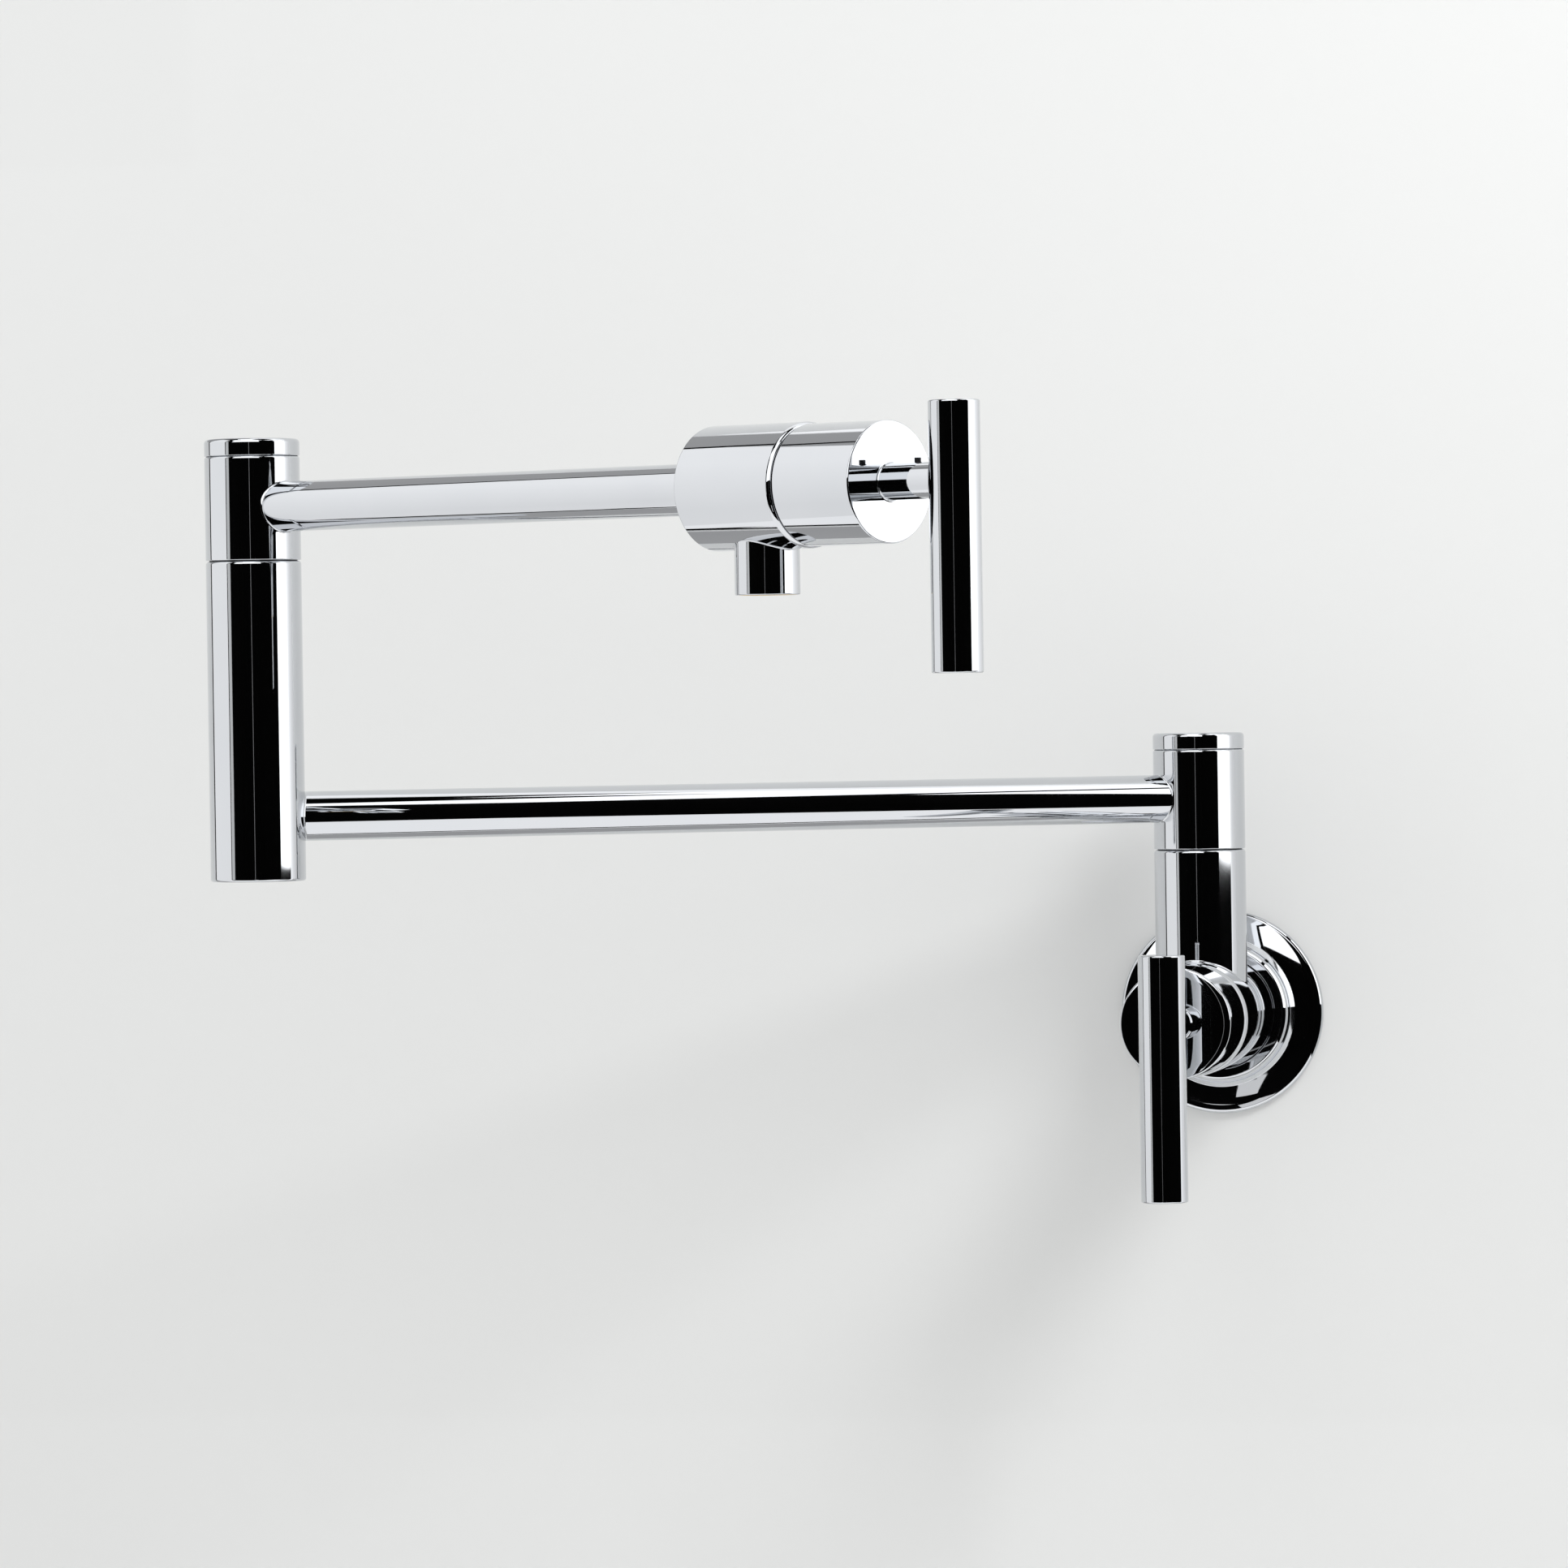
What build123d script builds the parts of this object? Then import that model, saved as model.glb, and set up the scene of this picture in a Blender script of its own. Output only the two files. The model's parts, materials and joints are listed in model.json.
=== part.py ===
from build123d import *
import os
from math import cos, radians, sin, tan

# Wall mounted pot filler with two swivel joints and a quarter turn valve at each end.
# Millimetres. The wall is the plane Y = 0, the object stands out of it towards -Y, and +Z is up.
# The origin is the centre of the threaded inlet, where the object meets the wall.

# ---------------------------------------------------------------- layout
pivot_from_wall = 45.0          # shoulder axis in front of the wall
arm_span = 330.0                # shoulder axis to elbow axis
lower_arm_angle = 33.0          # degrees, out from the wall, towards -X
upper_arm_angle = 32.0          # degrees, out from the wall, back towards +X
shoulder_seam_height = 56.15    # top of the riser above the inlet axis
post_below_arm = 20.6           # foot of the elbow post under the lower arm's axis
post_length = 102.55            # elbow post, foot to seam
upper_arm_reach = 208.4         # elbow axis to the back of the spout valve

# ---------------------------------------------------------------- columns, hubs and arms
column_diameter = 30.6          # riser, post, hubs and caps
hub_length = 33.6               # seam to cap line
cap_height = 5.5
cap_top_wall = 2.6
arm_above_seam = 17.15          # arm axis above its swivel seam
end_bevel = 0.9                 # edge break at the free end of a column
seam_bevel = 0.75               # edge break on both sides of a swivel seam
cap_line_bevel = 0.65           # edge break on both sides of a cap line
post_bore_diameter = 15.0
post_floor = 6.0
tube_diameter = 16.0
tube_wall = 1.2
tube_seat_depth = 3.0           # how far an arm enters the round wall of a hub or post

# ---------------------------------------------------------------- swivel joint
washer_thickness = 0.25         # plastic thrust washer in the seam
washer_inset = 1.2              # its rim lies this far inside the column
spigot_diameter = 21.0
spigot_thread_diameter = 18.0
spigot_thread_length = 12.0
spigot_bore_diameter = 12.0
spigot_waist_diameter = 18.0    # ring channel that feeds the arm at any angle
waist_height = 9.6
port_diameter = 7.0
port_count = 4
port_headroom = 0.6             # the spigot's bore ends this far above its ports
running_clearance = 0.05        # radial, between the hub and the spigot
hub_shelf_depth = 5.0           # counterbore for the cap, measured from the cap line
hub_counterbore_diameter = 25.2
shelf_play = 0.1                # the retaining washer stands this far off the hub's shelf
retaining_washer_diameter = 23.6
retaining_washer_thickness = 1.0
retaining_thread_diameter = 5.0
retaining_thread_length = 5.8
retaining_screw_end_play = 0.5  # free thread under the screw's end
retaining_head_diameter = 8.6
retaining_head_height = 2.6
cap_plug_clearance = 0.05
cap_plug_wall = 2.0
cap_plug_gap = 0.4              # air between the plug and the retaining washer
seal_height = 1.6
seal_groove_play = 0.2
seal_groove_depth = 1.5

# ---------------------------------------------------------------- valve barrels
barrel_diameter = 38.0
wall_barrel_length = 70.5       # wall to the handle seam
spout_barrel_length = 39.9
barrel_roll_length = 2.4        # rounded rim next to the handle, along the barrel
barrel_roll_drop = 0.9          # how far the rim is drawn in, on the radius
barrel_back_bevel = 0.35        # edge break where the arm enters the spout's barrel
inlet_thread_diameter = 19.8    # half inch taper thread, drawn at its pitch diameter
inlet_thread_depth = 16.0
water_bore_diameter = 11.0
chamber_diameter = 20.9
chamber_depth = 27.0            # seam to the seat of the cartridge
riser_bore_diameter = 14.0
riser_bore_floor = 7.2          # underside of the riser's bore above the inlet axis
tube_socket_depth = 7.5

# ---------------------------------------------------------------- outlet
outlet_diameter = 19.8
outlet_from_seam = 19.4
outlet_below_axis = 32.6
outlet_thread_diameter = 16.0
outlet_thread_top = 12.2        # top of the outlet's thread below the barrel's axis
outlet_bore_diameter = 12.4
outlet_seat_diameter = 17.0     # seat of the flow straightener
outlet_seat_depth = 11.6
outlet_lip_bore_diameter = 17.4  # open mouth below the straightener
outlet_edge = 0.4
straightener_inset = 5.0        # the flow straightener sits this far above the lip
straightener_height = 5.0
straightener_clearance = 0.05
cell_size = 3.4                 # across the flats of one honeycomb cell
cell_wall = 0.7
outer_cell_count = 6            # cells in the ring round the middle one

# ---------------------------------------------------------------- ceramic cartridge
gasket_thickness = 2.4
cartridge_diameter = 18.0
cartridge_cavity_diameter = 15.2
cartridge_thread_length = 10.0
cartridge_thread_clearance = 0.05
window_width = 9.0
disc_clearance = 0.08
fixed_disc_thickness = 2.8
moving_disc_thickness = 3.2
port_inner_diameter = 3.6
port_outer_diameter = 12.4
port_angle = 70.0               # degrees, each of the two openings in a disc
slot_width = 3.0
slot_depth = 1.2
slot_clearance = 0.05
driver_thickness = 1.9
driver_play = 0.1
spindle_diameter = 8.0
spindle_clearance = 0.05
spindle_seal_depth = 1.0
spindle_seal_height = 1.4
spindle_seal_spacing = 4.0
bonnet_gasket_thickness = 0.8
bonnet_hex = 24.0               # across the flats
bonnet_hex_height = 5.0
bonnet_neck_diameter = 15.0
bonnet_neck_height = 4.7
clip_above_neck = 0.1
clip_thickness = 0.8
clip_groove_depth = 0.6
clip_diameter = 12.0
clip_gap = 4.5
spline_teeth = 20
spline_depth = 0.4
spline_length = 7.0
spline_clearance = 0.05
spline_above_clip = 0.9
boss_above_clip = 0.4

# ---------------------------------------------------------------- handle
skirt_gap = 0.4                 # running gap between the barrel and the handle
skirt_diameter = 36.8
skirt_back_edge = 0.6
skirt_face = 31.8               # seam to the handle's flat face
skirt_wall = 2.8
skirt_face_wall = 4.0
skirt_face_edge = 0.5
boss_diameter = 15.0
screw_diameter = 4.0
screw_clearance = 0.1
screw_depth = 7.5               # engaged in the spindle
screw_head_diameter = 7.2
screw_head_height = 2.4
screw_web = 4.0                 # metal between the spindle's end and the screw's head
stem_diameter = 11.0
stem_thread_diameter = 9.8
stem_thread_clearance = 0.05
stem_thread_length = 4.2
stem_foot = 0.6                 # small flare where the stem stands on the face
bar_from_face = 26.1            # handle face to the bar's axis
bar_diameter = 15.4
bar_above = 23.4
bar_below = 57.1
bar_edge = 0.5
tenon_diameter = 6.5
tenon_clearance = 0.05
tenon_length = 9.0              # bar surface to the tenon's end
set_screw_diameter = 2.0
set_screw_from_bar = 14.8       # set screw to the bar's axis
set_screw_proud = 1.3
set_screw_socket = 1.0          # across the flats
set_screw_socket_depth = 0.8

# ---------------------------------------------------------------- wall flange
flange_diameter = 69.2
flange_rim_height = 1.6         # straight edge next to the wall
flange_rim_radius = 1.3
flange_band_inner_diameter = 50.8
flange_band_height = 4.4
flange_band_bulge = 0.15        # how far the sloping band stands out of a straight cone
flange_step_diameter = 48.0
flange_step_height = 6.0
flange_shoulder_bulge = 0.5     # how far the rounded shoulder stands out of a straight cone
flange_crown_diameter = 44.4    # flat top, inside its broken edge
flange_crown_height = 10.2
flange_crown_edge = 0.4
flange_neck_length = 6.0        # bored part that fits round the barrel
flange_neck_wall = 3.6
flange_hole_clearance = 0.2
flange_rim_seat = 2.0           # flat ring that bears on the wall
flange_gasket_width = 3.5
flange_gasket_thickness = 1.4
flange_seal_depth = 1.6
flange_seal_height = 1.8
flange_seal_from_crown = 2.0

# ---------------------------------------------------------------- worked out
column_r = column_diameter / 2
tube_r = tube_diameter / 2
barrel_r = barrel_diameter / 2
skirt_r = skirt_diameter / 2
lower_direction = Vector(-cos(radians(lower_arm_angle)), -sin(radians(lower_arm_angle)), 0)
upper_direction = Vector(cos(radians(upper_arm_angle)), -sin(radians(upper_arm_angle)), 0)
shoulder = Vector(0, -pivot_from_wall, shoulder_seam_height)
lower_arm_height = shoulder_seam_height + arm_above_seam
elbow_foot = Vector(shoulder.X, shoulder.Y, 0) + lower_direction * arm_span
elbow_foot += Vector(0, 0, lower_arm_height - post_below_arm)
elbow = elbow_foot + Vector(0, 0, post_length)
upper_arm_height = elbow.Z + arm_above_seam
spout_seam = Vector(elbow.X, elbow.Y, upper_arm_height)
spout_seam += upper_direction * (upper_arm_reach + spout_barrel_length)

# A valve is drawn along its own axis: z is 0 at the handle seam and grows towards the handle,
# and y is up. A swivel is drawn on its pivot: z is 0 at the seam.
wall_frame = Plane((0, -wall_barrel_length, 0), x_dir=(1, 0, 0), z_dir=(0, -1, 0)).location
spout_frame = Plane(
    spout_seam, x_dir=Vector(0, 0, 1).cross(upper_direction), z_dir=upper_direction
).location
shoulder_frame = Location(shoulder)
elbow_frame = Location(elbow)

# Heights along a valve's axis that several pieces share.
seat_z = -chamber_depth
fixed_disc_z = seat_z + gasket_thickness
moving_disc_z = fixed_disc_z + fixed_disc_thickness
driver_z = moving_disc_z + moving_disc_thickness
cavity_top_z = driver_z + driver_thickness + driver_play
neck_top_z = bonnet_gasket_thickness + bonnet_hex_height + bonnet_neck_height
clip_z = neck_top_z + clip_above_neck
spline_z = clip_z + clip_thickness + spline_above_clip
spindle_top_z = spline_z + spline_length
screw_head_z = spindle_top_z + screw_web
bar_z = skirt_face + bar_from_face
set_screw_z = bar_z - set_screw_from_bar

# Heights in a swivel that several pieces share.
shelf_z = hub_length - hub_shelf_depth
spigot_top_z = shelf_z + shelf_play
waist_low_z = arm_above_seam - waist_height / 2
waist_high_z = arm_above_seam + waist_height / 2
washer_top_z = spigot_top_z + retaining_washer_thickness


# ---------------------------------------------------------------- building blocks
def turned(*outline):
    """Solid of revolution about Z from the (radius, height) corners of its half outline."""
    return revolve(Plane.XZ * make_face(Polyline(*outline, close=True)), Axis.Z)


def rod(radius, low, high, low_bevel=0.0, high_bevel=0.0):
    """Round bar on the Z axis between two heights, its end edges broken where asked."""
    outline = [(0, low), (radius - low_bevel, low)]
    if low_bevel:
        outline.append((radius, low + low_bevel))
    if high_bevel:
        outline.append((radius, high - high_bevel))
    outline += [(radius - high_bevel, high), (0, high)]
    return turned(*outline)


def barrel(back, back_bevel=0.0):
    """Round barrel on the Z axis that ends at the handle seam with a rolled rim."""
    roll_foot = (barrel_r, -barrel_roll_length)
    rim = (barrel_r - barrel_roll_drop, 0)
    side = [rim, (0, 0), (0, back), (barrel_r - back_bevel, back)]
    if back_bevel:
        side.append((barrel_r, back + back_bevel))
    roll = TangentArc(roll_foot, rim, tangent=(0, 1))
    return revolve(Plane.XZ * make_face([roll, Polyline(*side, roll_foot)]), Axis.Z)


def ring(inner, outer, low, high):
    """Flat ring on the Z axis between two heights."""
    return turned((inner, low), (outer, low), (outer, high), (inner, high))


def aimed(solid, direction, centre=(0, 0, 0)):
    """Turns a solid drawn along Z so that it points along a direction from a centre."""
    return Plane(centre, z_dir=direction).location * solid


def radial_bore(radius, start, end, direction, height):
    """Tool for a round hole that runs outwards from the Z axis at a height."""
    return aimed(rod(radius, start, end), direction, (0, 0, height))


def hexagon(flats, low, high):
    """Hexagonal bar on the Z axis."""
    face = RegularPolygon(flats / 2, 6, major_radius=False)
    return Pos(0, 0, low) * extrude(face, high - low)


# ---------------------------------------------------------------- swivel joints
def spigot():
    """Hollow pin that screws into the column and carries the hub and its two seals."""
    thread_r = spigot_thread_diameter / 2
    shaft_r = spigot_diameter / 2
    waist_r = spigot_waist_diameter / 2
    groove_r = shaft_r - seal_groove_depth
    groove = seal_height + seal_groove_play
    low_groove = (washer_thickness + waist_low_z - groove) / 2
    high_groove = (waist_high_z + spigot_top_z - groove) / 2
    body = turned(
        (0, -spigot_thread_length),
        (thread_r, -spigot_thread_length),
        (thread_r, 0),
        (shaft_r, 0),
        (shaft_r, low_groove),
        (groove_r, low_groove),
        (groove_r, low_groove + groove),
        (shaft_r, low_groove + groove),
        (shaft_r, waist_low_z),
        (waist_r, waist_low_z),
        (waist_r, waist_high_z),
        (shaft_r, waist_high_z),
        (shaft_r, high_groove),
        (groove_r, high_groove),
        (groove_r, high_groove + groove),
        (shaft_r, high_groove + groove),
        (shaft_r, spigot_top_z),
        (0, spigot_top_z),
    )
    bore_top = arm_above_seam + port_diameter / 2 + port_headroom
    body -= rod(spigot_bore_diameter / 2, -spigot_thread_length, bore_top)
    body -= rod(retaining_thread_diameter / 2, spigot_top_z - retaining_thread_length, spigot_top_z)
    one_port = radial_bore(port_diameter / 2, 0, shaft_r, Vector(1, 0, 0), arm_above_seam)
    for turn in range(port_count):
        body -= Rot(0, 0, 360 / port_count * turn) * one_port
    seal_lows = [low_groove + seal_groove_play / 2, high_groove + seal_groove_play / 2]
    seals = [ring(groove_r, shaft_r, low, low + seal_height) for low in seal_lows]
    return body, Compound(seals)


def hub(direction):
    """Turning sleeve with the seat of the arm that leaves it."""
    bore_r = spigot_diameter / 2 + running_clearance
    counter_r = hub_counterbore_diameter / 2
    body = turned(
        (bore_r, washer_thickness),
        (column_r - seam_bevel, washer_thickness),
        (column_r, washer_thickness + seam_bevel),
        (column_r, hub_length - cap_line_bevel),
        (column_r - cap_line_bevel, hub_length),
        (counter_r, hub_length),
        (counter_r, shelf_z),
        (bore_r, shelf_z),
    )
    body -= radial_bore(tube_r, column_r - tube_seat_depth, column_r, direction, arm_above_seam)
    body -= radial_bore(tube_r - tube_wall, 0, column_r, direction, arm_above_seam)
    return body


def cap():
    """Lid that closes the hub over the retaining screw."""
    plug_r = hub_counterbore_diameter / 2 - cap_plug_clearance
    cavity_r = plug_r - cap_plug_wall
    plug_low = washer_top_z + cap_plug_gap
    top = hub_length + cap_height
    return turned(
        (cavity_r, plug_low),
        (plug_r, plug_low),
        (plug_r, hub_length),
        (column_r - cap_line_bevel, hub_length),
        (column_r, hub_length + cap_line_bevel),
        (column_r, top - end_bevel),
        (column_r - end_bevel, top),
        (0, top),
        (0, top - cap_top_wall),
        (cavity_r, top - cap_top_wall),
    )


def retaining_screw():
    """Hexagon socket screw that clamps the retaining washer on the spigot."""
    head_r = retaining_head_diameter / 2
    shank_r = retaining_thread_diameter / 2
    head_top = washer_top_z + retaining_head_height
    shank_end = spigot_top_z - retaining_thread_length + retaining_screw_end_play
    body = rod(head_r, washer_top_z, head_top)
    body += rod(shank_r, shank_end, washer_top_z)
    return body - hexagon(head_r, head_top - retaining_head_height / 2, head_top)


def swivel(name, direction):
    """Every piece of one swivel joint, keyed by node name."""
    pin, seals = spigot()
    thread_r = retaining_thread_diameter / 2
    return {
        f"{name}_spigot": pin,
        f"{name}_seal_rings": seals,
        f"{name}_thrust_washer": ring(
            spigot_diameter / 2 + running_clearance, column_r - washer_inset, 0, washer_thickness
        ),
        f"{name}_hub": hub(direction),
        f"{name}_retaining_washer": ring(
            thread_r + running_clearance, retaining_washer_diameter / 2, spigot_top_z, washer_top_z
        ),
        f"{name}_retaining_screw": retaining_screw(),
        f"{name}_cap": cap(),
    }


def column_socket(top):
    """Tool for the threaded socket that takes a spigot in the top of a column."""
    return rod(spigot_thread_diameter / 2, top - spigot_thread_length, top)


# ---------------------------------------------------------------- valve barrels
def wall_valve_body():
    """Barrel on the wall with the riser that carries the shoulder."""
    back = -wall_barrel_length
    upwards = Vector(0, 1, 0)
    foot = (0, 0, back + pivot_from_wall)
    body = barrel(back)
    body += aimed(rod(column_r, 0, shoulder_seam_height, high_bevel=seam_bevel), upwards, foot)
    body -= rod(chamber_diameter / 2, seat_z, 0)
    body -= rod(water_bore_diameter / 2, back, 0)
    body -= rod(inlet_thread_diameter / 2, back, back + inlet_thread_depth)
    body -= aimed(rod(riser_bore_diameter / 2, riser_bore_floor, shoulder_seam_height), upwards, foot)
    return body - aimed(column_socket(shoulder_seam_height), upwards, foot)


def spout_valve_body():
    """Barrel at the end of the upper arm, with the threaded hole of the outlet below."""
    back = -spout_barrel_length
    downwards = Vector(0, -1, 0)
    centre = (0, 0, -outlet_from_seam)
    body = barrel(back, barrel_back_bevel)
    body -= rod(chamber_diameter / 2, seat_z, 0)
    body -= rod(water_bore_diameter / 2, back, 0)
    body -= rod(tube_r, back, back + tube_socket_depth)
    body -= aimed(rod(outlet_bore_diameter / 2, 0, outlet_thread_top), downwards, centre)
    return body - aimed(rod(outlet_thread_diameter / 2, outlet_thread_top, barrel_r), downwards, centre)


def outlet():
    """Short round spout under the barrel, with the pieces that steady the stream."""
    seat_r = outlet_seat_diameter / 2
    bore_r = outlet_bore_diameter / 2
    insert_r = seat_r - straightener_clearance
    seat_top = outlet_below_axis - outlet_seat_depth
    insert_low = outlet_below_axis - straightener_inset
    insert_high = insert_low - straightener_height

    def hung(solid):
        """Turns a solid drawn down from the barrel's axis into the valve's own frame."""
        return aimed(solid, Vector(0, -1, 0), (0, 0, -outlet_from_seam))

    spout = hung(rod(outlet_diameter / 2, 0, outlet_below_axis, high_bevel=outlet_edge))
    spout -= rod(barrel_r, -spout_barrel_length, 0)
    spout += hung(rod(outlet_thread_diameter / 2, outlet_thread_top, outlet_below_axis))
    spout -= hung(rod(bore_r, 0, outlet_below_axis))
    spout -= hung(rod(seat_r, seat_top, outlet_below_axis))
    spout -= hung(rod(outlet_lip_bore_diameter / 2, insert_low, outlet_below_axis))

    cell = hexagon(cell_size, insert_high, insert_low)
    insert = rod(insert_r, insert_high, insert_low) - cell
    for turn in range(outer_cell_count):
        insert -= Rot(0, 0, 360 / outer_cell_count * turn) * Pos(cell_size + cell_wall, 0, 0) * cell
    return {
        "outlet_spout": spout,
        "flow_straightener": hung(insert),
        "flow_straightener_seal": hung(ring(bore_r, insert_r, seat_top, insert_high)),
    }


# ---------------------------------------------------------------- ceramic cartridges
def port(across):
    """Tool for the two opposite sector openings of a ceramic disc."""
    inner = port_inner_diameter / 2
    outer = port_outer_diameter / 2
    half_width = outer * tan(radians(port_angle / 2))
    wedge = make_face(Polyline((0, 0), (outer, -half_width), (outer, half_width), close=True))
    one = Pos(0, 0, fixed_disc_z) * extrude(wedge, driver_z - fixed_disc_z)
    both = one + Rot(0, 0, 180) * one
    return Rot(0, 0, 90 if across else 0) * (both & ring(inner, outer, fixed_disc_z, driver_z))


def spline(clearance):
    """Toothed bar between the spindle's shoulder and its end."""
    outer = spindle_diameter / 2 + clearance
    points = []
    for tooth in range(2 * spline_teeth):
        radius = outer - (spline_depth if tooth % 2 else 0)
        angle = radians(180 / spline_teeth * tooth)
        points.append((radius * cos(angle), radius * sin(angle)))
    return Pos(0, 0, spline_z) * extrude(make_face(Polyline(*points, close=True)), spline_length)


def spindle():
    """Stem of the cartridge: driver, two seal grooves, clip groove, spline and screw hole."""
    shaft_r = spindle_diameter / 2
    driver_r = cartridge_cavity_diameter / 2 - disc_clearance
    groove_r = shaft_r - spindle_seal_depth
    clip_r = shaft_r - clip_groove_depth
    low_seal = -cartridge_thread_length
    high_seal = low_seal + spindle_seal_spacing
    body = turned(
        (0, driver_z),
        (driver_r, driver_z),
        (driver_r, driver_z + driver_thickness),
        (shaft_r, driver_z + driver_thickness),
        (shaft_r, low_seal),
        (groove_r, low_seal),
        (groove_r, low_seal + spindle_seal_height),
        (shaft_r, low_seal + spindle_seal_height),
        (shaft_r, high_seal),
        (groove_r, high_seal),
        (groove_r, high_seal + spindle_seal_height),
        (shaft_r, high_seal + spindle_seal_height),
        (shaft_r, clip_z),
        (clip_r, clip_z),
        (clip_r, clip_z + clip_thickness),
        (shaft_r, clip_z + clip_thickness),
        (shaft_r, spline_z),
        (0, spline_z),
    )
    lug_height = slot_depth - slot_clearance
    lug = Pos(0, 0, driver_z - lug_height / 2) * Box(
        2 * driver_r, slot_width - 2 * slot_clearance, lug_height
    )
    body += lug & rod(driver_r - slot_clearance, driver_z - lug_height, driver_z)
    body += spline(0)
    body -= rod(screw_diameter / 2, spindle_top_z - screw_depth, spindle_top_z)
    seals = [ring(groove_r, shaft_r, low, low + spindle_seal_height) for low in (low_seal, high_seal)]
    clip = ring(clip_r, clip_diameter / 2, clip_z, clip_z + clip_thickness)
    clip -= Pos(clip_diameter / 2, 0, clip_z + clip_thickness / 2) * Box(
        clip_diameter, clip_gap, clip_thickness
    )
    return body, Compound(seals), clip


def cartridge(name):
    """Every piece of one quarter turn cartridge, keyed by node name."""
    sleeve_r = cartridge_diameter / 2
    cavity_r = cartridge_cavity_diameter / 2
    thread_r = chamber_diameter / 2 - cartridge_thread_clearance
    bore_r = spindle_diameter / 2 + spindle_clearance
    hex_z = bonnet_gasket_thickness
    window_height = cavity_top_z - moving_disc_z
    body = rod(sleeve_r, fixed_disc_z, -cartridge_thread_length)
    body += rod(thread_r, -cartridge_thread_length, hex_z)
    body += hexagon(bonnet_hex, hex_z, hex_z + bonnet_hex_height)
    body += rod(bonnet_neck_diameter / 2, hex_z, neck_top_z)
    body -= rod(cavity_r, fixed_disc_z, cavity_top_z)
    body -= rod(bore_r, cavity_top_z, neck_top_z)
    window = Box(window_width, 2 * sleeve_r, window_height)
    body -= Pos(0, 0, moving_disc_z + window_height / 2) * window
    disc_r = cavity_r - disc_clearance
    fixed = rod(disc_r, fixed_disc_z, moving_disc_z) - port(False)
    moving = rod(disc_r, moving_disc_z, driver_z) - port(True)
    moving -= Pos(0, 0, driver_z - slot_depth / 2) * Box(2 * sleeve_r, slot_width, slot_depth)
    stem, seals, clip = spindle()
    return {
        f"{name}_cartridge_body": body,
        f"{name}_seat_gasket": ring(water_bore_diameter / 2, sleeve_r, seat_z, fixed_disc_z),
        f"{name}_fixed_disc": fixed,
        f"{name}_moving_disc": moving,
        f"{name}_spindle": stem,
        f"{name}_spindle_seals": seals,
        f"{name}_spindle_clip": clip,
        f"{name}_bonnet_gasket": ring(chamber_diameter / 2, bonnet_hex / 2, 0, hex_z),
    }


# ---------------------------------------------------------------- handles
def handle_skirt():
    """Hollow drum that turns in front of the barrel, with the splined boss inside."""
    cavity_r = skirt_r - skirt_wall
    boss_r = boss_diameter / 2
    boss_low = clip_z + clip_thickness + boss_above_clip
    cavity_top = skirt_face - skirt_face_wall
    counter_r = stem_thread_diameter / 2 + stem_thread_clearance
    body = turned(
        (0, boss_low),
        (boss_r, boss_low),
        (boss_r, cavity_top),
        (cavity_r, cavity_top),
        (cavity_r, skirt_gap),
        (skirt_r - skirt_back_edge, skirt_gap),
        (skirt_r, skirt_gap + skirt_back_edge),
        (skirt_r, skirt_face - skirt_face_edge),
        (skirt_r - skirt_face_edge, skirt_face),
        (0, skirt_face),
    )
    body -= spline(spline_clearance)
    body -= rod(spindle_diameter / 2 + spline_clearance, boss_low, spline_z)
    body -= rod(screw_diameter / 2 + screw_clearance, spindle_top_z, screw_head_z)
    return body - rod(counter_r, screw_head_z, skirt_face)


def handle_stem():
    """Neck between the drum and the bar, coped to the bar, with its set screw hole."""
    stem_r = stem_diameter / 2
    body = turned(
        (0, skirt_face - stem_thread_length),
        (stem_thread_diameter / 2, skirt_face - stem_thread_length),
        (stem_thread_diameter / 2, skirt_face),
        (stem_r + stem_foot, skirt_face),
        (stem_r, skirt_face + stem_foot),
        (stem_r, bar_z),
        (0, bar_z),
    )
    upwards = Vector(0, 1, 0)
    body -= aimed(rod(bar_diameter / 2, -stem_diameter, stem_diameter), upwards, (0, 0, bar_z))
    tenon_end = bar_z - bar_diameter / 2 - tenon_length
    body -= rod(tenon_diameter / 2 + tenon_clearance, tenon_end - tenon_clearance, bar_z)
    hole = aimed(rod(set_screw_diameter / 2, 0, stem_diameter), upwards, (0, 0, set_screw_z))
    return body - hole


def handle(name):
    """Every piece of one handle, keyed by node name."""
    upwards = Vector(0, 1, 0)
    bar_r = bar_diameter / 2
    bar = aimed(rod(bar_r, -bar_below, bar_above, bar_edge, bar_edge), upwards, (0, 0, bar_z))
    bar += rod(tenon_diameter / 2, bar_z - bar_r - tenon_length, bar_z)
    grub_top = stem_diameter / 2 + set_screw_proud
    grub = rod(set_screw_diameter / 2, tenon_diameter / 2, grub_top)
    grub -= hexagon(set_screw_socket, grub_top - set_screw_socket_depth, grub_top)
    screw_top = screw_head_z + screw_head_height
    screw = rod(screw_head_diameter / 2, screw_head_z, screw_top)
    screw += rod(screw_diameter / 2, spindle_top_z - screw_depth, screw_head_z)
    screw -= hexagon(screw_head_diameter / 2, screw_top - screw_head_height / 2, screw_top)
    return {
        f"{name}_handle_skirt": handle_skirt(),
        f"{name}_handle_screw": screw,
        f"{name}_handle_stem": handle_stem(),
        f"{name}_handle_bar": bar,
        f"{name}_handle_set_screw": aimed(grub, upwards, (0, 0, set_screw_z)),
    }


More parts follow.
